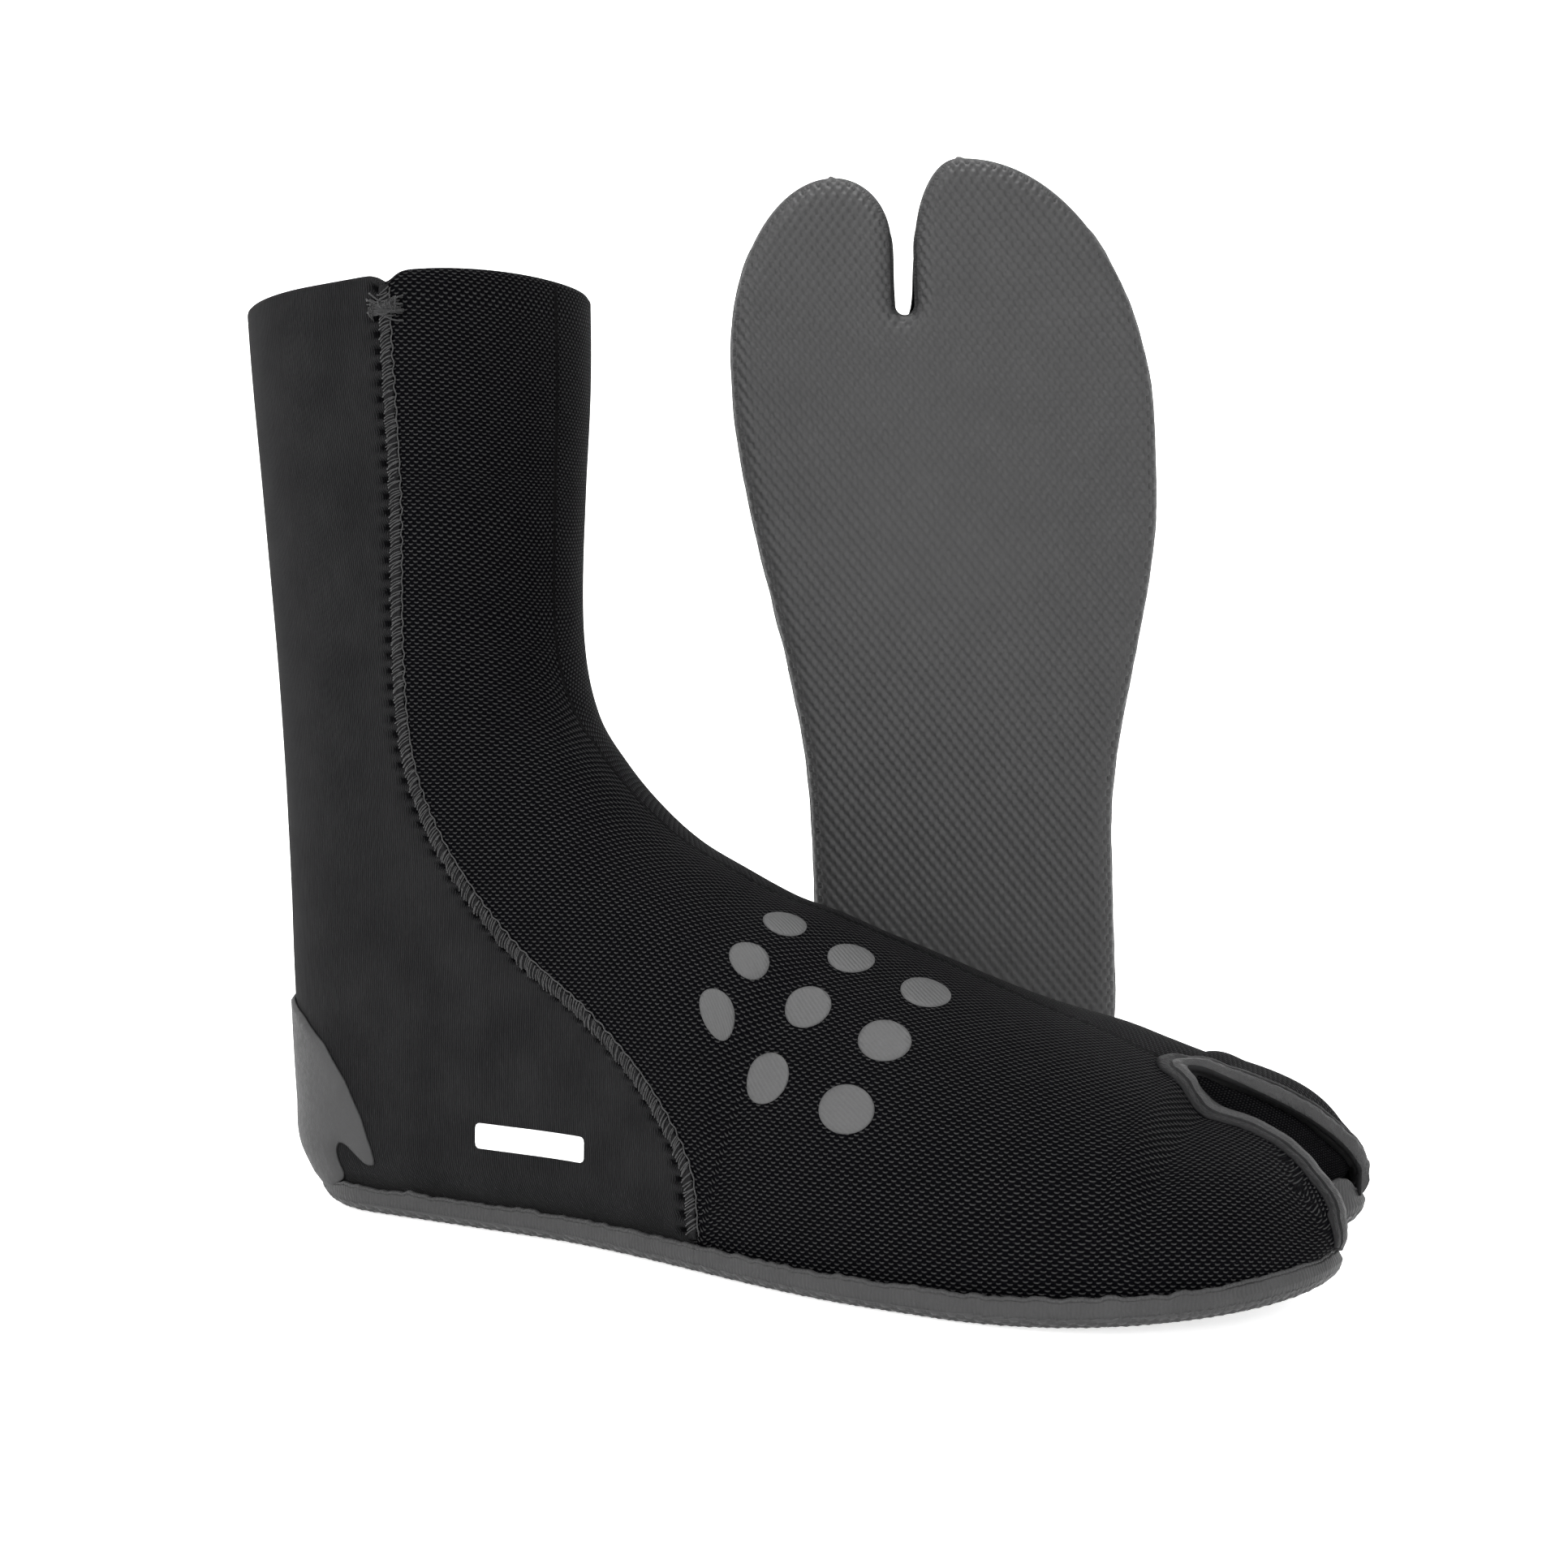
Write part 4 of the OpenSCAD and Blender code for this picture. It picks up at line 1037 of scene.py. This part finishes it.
def split_tape(boot, skin):
    """Rubber tape round the toe opening, glued down on the knit and turned in over the edge."""
    edge_line = np.concatenate([split_points(-1, 1, 0)[::-1], split_points(1, 1, 0)[1:]])
    under = np.concatenate([split_points(-1, 1, NEOPRENE)[::-1], split_points(1, 1, NEOPRENE)[1:]])
    back = np.concatenate([split_points(-1, 0.9, 0)[::-1], split_points(1, 0.9, 0)[1:]])
    edge_line = smooth_line(edge_line, 26)
    edge_line, under, back = (run_down(line, line is under) for line in (edge_line, under, back))
    t = np.gradient(edge_line, axis=0)
    t /= np.linalg.norm(t, axis=1)[:, None]
    up = edge_line - under
    middle = len(edge_line) // 2
    up /= np.linalg.norm(up, axis=1)[:, None]
    out = np.cross(up, t)
    out /= np.linalg.norm(out, axis=1)[:, None]
    if np.dot(out[middle // 2], back[middle // 2] - edge_line[middle // 2]) < 0:
        out = -out
    s = np.concatenate([[0], np.cumsum(np.linalg.norm(np.diff(edge_line, axis=0), axis=1))])
    wide = mix(8.8, 5.4, ease((s - s[middle] + 12) / 24))
    profile = [(1.0, -0.3), (1.0, 0.45), (0.9, 0.75), (0.64, 0.8), (0.55, 0.55), (0.47, 0.95), (0.32, 1.35), (0.13, 1.35), (0.0, 1.0)]
    rows = []
    for share, lift in profile:
        reach = wide * share + (0.3 * np.sin(s * 1.9) + 0.2 * np.sin(s * 4.3) if share == 1.0 else 0)
        uneven = 1 + 0.12 * np.sin(s * 2.3 + share * 5) + 0.08 * np.sin(s * 5.1)
        if share < 0.5:
            uneven = uneven + 0.22 * np.sin(s * 3.4 + 2 * np.sin(s * 0.9) + share * 3) * ease((s - s[middle] + 30) / 30)
        spots = edge_line + out * reach[:, None]
        line = []
        for p, l in zip(spots, lift * uneven):
            hit, normal, _, _ = skin.find_nearest(Vector(p))
            line.append(np.array(hit) - np.array(normal) * l)
        rows.append(np.array(line))
    side_in = -out
    rows.append(edge_line + side_in * 0.8 + up * 0.5)
    rows.append(edge_line + side_in * 0.9 - up * 0.5)
    rows.append(edge_line + side_in * 0.8 - up * 1.2)
    rows.append(edge_line + side_in * 0.1 - up * 1.3)
    rows.append(edge_line + side_in * 0.1 - up * 0.2)
    ring = np.stack(rows, 1)
    ring[1:-1] = (ring[:-2] + 2 * ring[1:-1] + ring[2:]) / 4
    b = Build()
    widths = np.arange(ring.shape[1]) * 0.8
    idx = b.add(ring, np.stack(np.broadcast_arrays(s[:, None], widths[None]), -1))
    b.grid(idx[:, :6], flip=True)
    b.grid(idx[:, 5:10], flip=True, mat=1)
    b.grid(np.concatenate([idx[:, 9:], idx[:, :1]], 1), flip=True)
    for row, flip in ((idx[0], True), (idx[-1], False)):
        fan = np.stack([np.full(len(row) - 2, row[0]), row[2:], row[1:-1]], -1)
        b.triangles(fan[:, ::-1] if flip else fan)
    return b


def floor_edge(x, side, d):
    e = mix(tip_y(side), SPLIT_Y + side * SPLIT_GAP / 2, dome((FOOT - x) / 25))
    return SPLIT_Y + (e + side * d - SPLIT_Y) * dome((x - SOLE_SPLIT_START + d) / 5)


def toe_gusset(boot):
    """Cloth wall between the toe pockets, from the tape down to the sole."""
    def one(side):
        top = split_points(side, 0.995, NEOPRENE - 0.4)[:-6]
        k = np.linspace(0, 1, len(top))
        x = mix(SOLE_SPLIT_START - 3, FOOT - 10, k ** 0.8)
        foot = np.stack([x, floor_edge(x, side, 2.4), np.full_like(x, 3.4)], -1)
        return top, foot
    lo_t, lo_f = one(-1)
    hi_t, hi_f = one(1)
    top, foot = np.concatenate([lo_t[::-1], hi_t[1:]]), np.concatenate([lo_f[::-1], hi_f[1:]])
    v = np.linspace(0, 1, 22)
    face = top[:, None] + (foot - top)[:, None] * v[None, :, None]
    t = np.gradient(face, axis=0)
    n = np.cross(t, (foot - top)[:, None])
    n /= np.linalg.norm(n, axis=-1)[..., None] + 1e-9
    face = face + n * (1.0 * np.sin(math.pi * v) + 0.25 * ripple(face, 9, 3))[..., None] * 0.6
    s = np.cumsum(np.concatenate([np.zeros((1, len(v))), np.linalg.norm(np.diff(face, axis=0), axis=2)]), 0)
    uv = np.stack([s, face[..., 2]], -1)
    b = Build()
    b.sheet(face, face + n * 1.1, uv, flip=True)
    return b


# ---- flat trim laid on the surface ----

def flat_piece(b, outline, step, put, low, high, mat=0, round_edge=0.5):
    """Closed thin piece: a flat outline filled with a fine mesh and laid on a surface by put(p, lift)."""
    outline = np.asarray(outline, float)
    n = len(outline)
    lo, hi = outline.min(0), outline.max(0)
    gx, gy = np.meshgrid(np.arange(lo[0], hi[0], step), np.arange(lo[1], hi[1], step), indexing="ij")
    inner = np.stack([gx, gy], -1).reshape(-1, 2)
    a, c = outline, np.roll(outline, -1, 0)
    seg = c - a

    def distance(p):
        w = np.clip(((p[:, None] - a) * seg).sum(-1) / (seg ** 2).sum(-1), 0, 1)
        return np.linalg.norm(p[:, None] - a - w[..., None] * seg, axis=-1).min(1)

    inner = inner[distance(inner) > step * 0.45]
    ring = []
    tangent = np.roll(outline, -1, 0) - np.roll(outline, 1, 0)
    inward = np.stack([-tangent[:, 1], tangent[:, 0]], -1)
    area = (a[:, 0] * c[:, 1] - a[:, 1] * c[:, 0]).sum()
    inward *= (1 if area > 0 else -1) / np.linalg.norm(inward, axis=1)[:, None]
    ring = outline + inward * round_edge
    ring = ring[distance(ring) > round_edge * 0.6]
    points = [Vector(p) for p in np.concatenate([outline, ring, inner])]
    edges = [(k, (k + 1) % n) for k in range(n)]
    verts, _, faces, source, _, _ = delaunay_2d_cdt(points, edges, [], 1, 1e-5)
    flat = np.array([tuple(v) for v in verts])
    tris = np.array([f for f in faces if len(f) == 3])
    dist = distance(flat)
    rise = mix(mix(low, high, 0.35), high, dome(dist / round_edge))
    top, bottom = b.add(put(flat, rise), flat), b.add(put(flat, np.full(len(flat), low)), flat)
    p0, p1, p2 = (put(flat, rise)[tris[:, k]] for k in range(3))
    cross = np.cross(p1 - p0, p2 - p0).sum(0)
    ahead = put(flat[:1], np.array([high + 1.0]))[0] - put(flat[:1], np.array([high]))[0]
    if cross @ ahead < 0:
        tris = tris[:, ::-1]
    b.triangles(top[tris], mat)
    b.triangles(bottom[tris[:, ::-1]], mat)
    used = {}
    for tri in tris:
        for x, y in ((tri[0], tri[1]), (tri[1], tri[2]), (tri[2], tri[0])):
            if (y, x) in used:
                del used[(y, x)]
            else:
                used[(x, y)] = True
    rim = np.array(list(used))
    b.add_quads(top[rim[:, 1]], top[rim[:, 0]], bottom[rim[:, 0]], bottom[rim[:, 1]], mat)


def dense(corners, step=0.8):
    closed = np.concatenate([corners, corners[:1]])
    return resample(np.asarray(closed, float), step)[:-1]


def rounded(corners, radius, steps=5):
    """Polygon with its corners rounded."""
    corners = np.asarray(corners, float)
    out = []
    for k, p in enumerate(corners):
        before, after = corners[k - 1], corners[(k + 1) % len(corners)]
        u, v = (before - p) / np.linalg.norm(before - p), (after - p) / np.linalg.norm(after - p)
        reach = min(radius, 0.4 * np.linalg.norm(before - p), 0.4 * np.linalg.norm(after - p))
        a, c = p + u * reach, p + v * reach
        for w in np.linspace(0, 1, steps):
            out.append((1 - w) ** 2 * a + 2 * w * (1 - w) * p + w * w * c)
    return np.array(out)


PATCH_EDGE = [
    (24.0, 3.2), (30.0, 5.6), (33.6, 8.6), (33.2, 10.6), (31.5, 13.1), (30.7, 16.2), (31.6, 18.3), (34.0, 18.2), (37.0, 16.0),
    (40.5, 13.5), (42.9, 12.8), (43.1, 14.6), (42.2, 17.4), (38.5, 25.9), (32.9, 35.0), (25.0, 43.7),
    (15.0, 49.6), (6.0, 52.5),
]


def heel_patch(boot):
    """Rubber patch round the back of the heel with a hooked notch on each side."""
    b = Build()

    def put(flat, lift):
        # flat x is the place along the foot, reflected past the back of the heel; flat y is the height
        side = np.where(flat[:, 0] < 0, -1.0, 1.0)
        z = flat[:, 1]
        lift = lift + 0.9 * (1 - ease((z - 5) / 6))
        xb = back_x(z) - lift
        x = xb + flat[:, 0] ** 2 / 60
        return settle(np.stack([x, side * wall(x, z, side, -lift), z], -1), boot)

    def wide(x, z):
        return math.sqrt(max(x - back_x(np.array(float(z))), 0) * 60)

    right = [(wide(x, z), z) for x, z in PATCH_EDGE]
    outline = rounded([(-p, z) for p, z in right][::-1][0:0] + right + [(-p, z) for p, z in right[::-1]], 1.2)
    flat_piece(b, dense(outline, 1.0), 2.0, put, 0.15, 1.25, round_edge=0.9)
    return b


def footbed(boot):
    """Cloth footbed lying inside the boot, with rounded edges."""
    outline = np.concatenate([fore_outline(2.0), heel_outline(2.0)[1:-1]])
    closed = np.concatenate([outline[-1:], outline, outline[:1]])
    inside = outline - (PANEL_INSET + LINING_IN + LINING_THICK + 0.8) * normals_2d(closed)[1:-1]
    b = Build()

    def put(flat, lift):
        return settle(np.column_stack([flat, FOOTBED_LOW + lift]), boot)

    flat_piece(b, inside, 4.0, put, 0.0, 2.2, round_edge=0.8)
    return b


def label(boot):
    b = Build()
    outline = rounded([(74.5, 21.5), (107.5, 21.5), (107.5, 28), (74.5, 28)], 1.4, 8)

    def put(flat, lift):
        x, z = flat[:, 0], flat[:, 1]
        return settle(np.stack([x, -wall(x, z, -1, -lift), z], -1), boot)

    flat_piece(b, dense(outline), 2.0, put, 0.05, 0.5, round_edge=0.4)
    return b


# Plain round grip dots on the outer side of the instep, in even rows: t and u of their centres.
DOT_T, DOT_U = (9.8, 11.3, 12.8), (0.42, 0.62, 0.82)
DOT_HALF_T, DOT_HALF_U = 0.42, 0.061
FLAT_T, FLAT_U = 14.5, 98.0


def instep_print(boot):
    """Thin printed dots on the outer side of the instep."""
    b = Build()
    turn = np.linspace(0, 2 * math.pi, 49)[:-1]
    ring = np.stack([DOT_HALF_T * FLAT_T * np.cos(turn), DOT_HALF_U * FLAT_U * np.sin(turn)], -1)

    def put(flat, lift):
        return settle(front_point(flat[:, 0] / FLAT_T, flat[:, 1] / FLAT_U, -1, -lift), boot)

    for t in DOT_T:
        for u in DOT_U:
            flat_piece(b, ring + (t * FLAT_T, u * FLAT_U), 1.6, put, 0.05, 0.42, round_edge=0.4)
    return b


# ---- both boots ----


def make_boot(boot):
    panel = front_panel(boot)
    points, quads, _, _, mats = panel.arrays()
    face = quads[mats[:len(quads)] == 0]
    skin = BVHTree.FromPolygons([tuple(p) for p in points], [tuple(int(i) for i in q) for q in face])
    panel.piece("knit_front", boot, [KNIT, FOAM], "mesh_knit", "front_panel")
    heel_panel(boot).piece("jersey_heel", boot, [JERSEY, FOAM, JERSEY_PAINTED_SHADE], "smooth_jersey", "heel_panel")
    lining(boot, "front").piece("inner_front", boot, [LINING], "lining_knit", "front_lining")
    lining(boot, "heel").piece("inner_heel", boot, [LINING], "lining_knit", "heel_lining")
    seam(boot, -1).piece("outer_seam_stitching", boot, [GLUE, THREAD], "seam_thread", "lateral_seam")
    seam(boot, 1).piece("inner_seam_stitching", boot, [GLUE, THREAD], "seam_thread", "medial_seam")
    bartack(boot, -1).piece("outer_rim_stitching", boot, [KNOT], "seam_thread", "lateral_bartack")
    bartack(boot, 1).piece("inner_rim_stitching", boot, [KNOT], "seam_thread", "medial_bartack")
    edge(boot, fore_outline(0.7), True, 41).piece("toe_edge_rubber", boot, [EDGE], "edge_rubber", "forefoot_edge")
    edge(boot, heel_outline(0.7), False, 51).piece("heel_edge_rubber", boot, [EDGE], "edge_rubber", "heel_edge")
    sole_lattice(boot).piece("sole_tread", boot, [SOLE, SOLE_PIT_SHADE], "sole_rubber", "outsole")
    split_tape(boot, skin).piece("split_binding", boot, [TAPE, TAPE_FACE], "tape_rubber", "split_tape")
    toe_gusset(boot).piece("split_wall", boot, [GUSSET_KNIT], "gusset_knit", "toe_gusset")
    heel_patch(boot).piece("heel_guard", boot, [PATCH], "patch_rubber", "heel_patch")
    label(boot).piece("side_label", boot, [LABEL], "label_white", "label")
    instep_print(boot).piece("instep_dots", boot, [PRINT], "print_rubber", "instep_print")
    footbed(boot).piece("inner_bed", boot, [FOOTBED], "footbed_fabric", "footbed")


for boot in ("right", "left"):
    make_boot(boot)


# ---- studio ----

def studio():
    """Pale floor that turns up into a round wall, so that it is the same from every side."""
    radius, bend, top = 2.4, 1.2, 3.0
    a = np.radians(np.linspace(0, 90, 14))
    line = [(0.0, 0.0), (radius * 0.5, 0.0), (radius, 0.0)]
    line += [(radius + bend * math.sin(k), bend * (1 - math.cos(k))) for k in a[1:]] + [(radius + bend, top)]
    turns = 64
    verts, faces = [], []
    for r, z in line:
        for k in range(turns):
            w = 2 * math.pi * k / turns
            verts.append((r * math.cos(w), r * math.sin(w), z))
    for i in range(len(line) - 1):
        for k in range(turns):
            e = (k + 1) % turns
            faces.append((i * turns + k, (i + 1) * turns + k, (i + 1) * turns + e, i * turns + e))
    mesh = bpy.data.meshes.new("studio_floor")
    mesh.from_pydata(verts, [], faces)
    mesh.polygons.foreach_set("use_smooth", [True] * len(mesh.polygons))
    g = Graph("floor_paper", (0.86, 0.86, 0.86), 0.9, Specular_IOR_Level=0.1)
    g.colour(g.noise(60, 2), (0.86, 0.86, 0.86), (0.88, 0.88, 0.88))
    g.shader.inputs["Emission Color"].default_value = (1, 1, 1, 1)
    g.shader.inputs["Emission Strength"].default_value = 0.65
    mesh.materials.append(g.material)
    floor = bpy.data.objects.new("studio_floor", mesh)
    floor.location = (0.05, 0.05, 0)
    bpy.context.scene.collection.objects.link(floor)


def lamp(name, place, aim, size, power):
    data = bpy.data.lights.new(name, "AREA")
    data.shape, data.size, data.energy = "DISK", size, power
    obj = bpy.data.objects.new(name, data)
    obj.location = place
    obj.rotation_euler = (Vector(aim) - Vector(place)).to_track_quat("-Z", "Y").to_euler()
    bpy.context.scene.collection.objects.link(obj)


def lights():
    world = bpy.data.worlds.new("studio")
    world.use_nodes = True
    world.node_tree.nodes["Background"].inputs[0].default_value = (1, 1, 1, 1)
    world.node_tree.nodes["Background"].inputs[1].default_value = 0.52
    bpy.context.scene.world = world
    aim = (0.08, 0.05, 0.1)
    lamp("key", (-0.5, -1.5, 1.5), aim, 0.9, 27)
    lamp("front", (0.9, -1.6, 0.5), aim, 1.2, 12)
    lamp("top", (0.1, 0.2, 1.9), aim, 1.0, 30)


def camera():
    """Camera beside the right boot's toes, low, looking across to the left boot's sole."""
    yaw, pitch, roll = math.radians(-26.68), math.radians(-3.7), math.radians(0.51)
    ahead = Vector((math.sin(yaw) * math.cos(pitch), math.cos(yaw) * math.cos(pitch), math.sin(pitch)))
    right = Vector((math.cos(yaw), -math.sin(yaw), 0))
    up = right.cross(ahead)
    across = right * math.cos(roll) + up * math.sin(roll)
    data = bpy.data.cameras.new("camera")
    data.sensor_width, data.lens = 36, 51.42
    obj = bpy.data.objects.new("camera", data)
    turn = Matrix((across, across.cross(ahead), -ahead)).transposed()
    obj.matrix_world = Matrix.Translation((0.3565, -0.50865, 0.15133)) @ turn.to_4x4()
    bpy.context.scene.collection.objects.link(obj)
    bpy.context.scene.camera = obj


studio()
lights()
camera()
bpy.context.scene.view_settings.view_transform = "Standard"
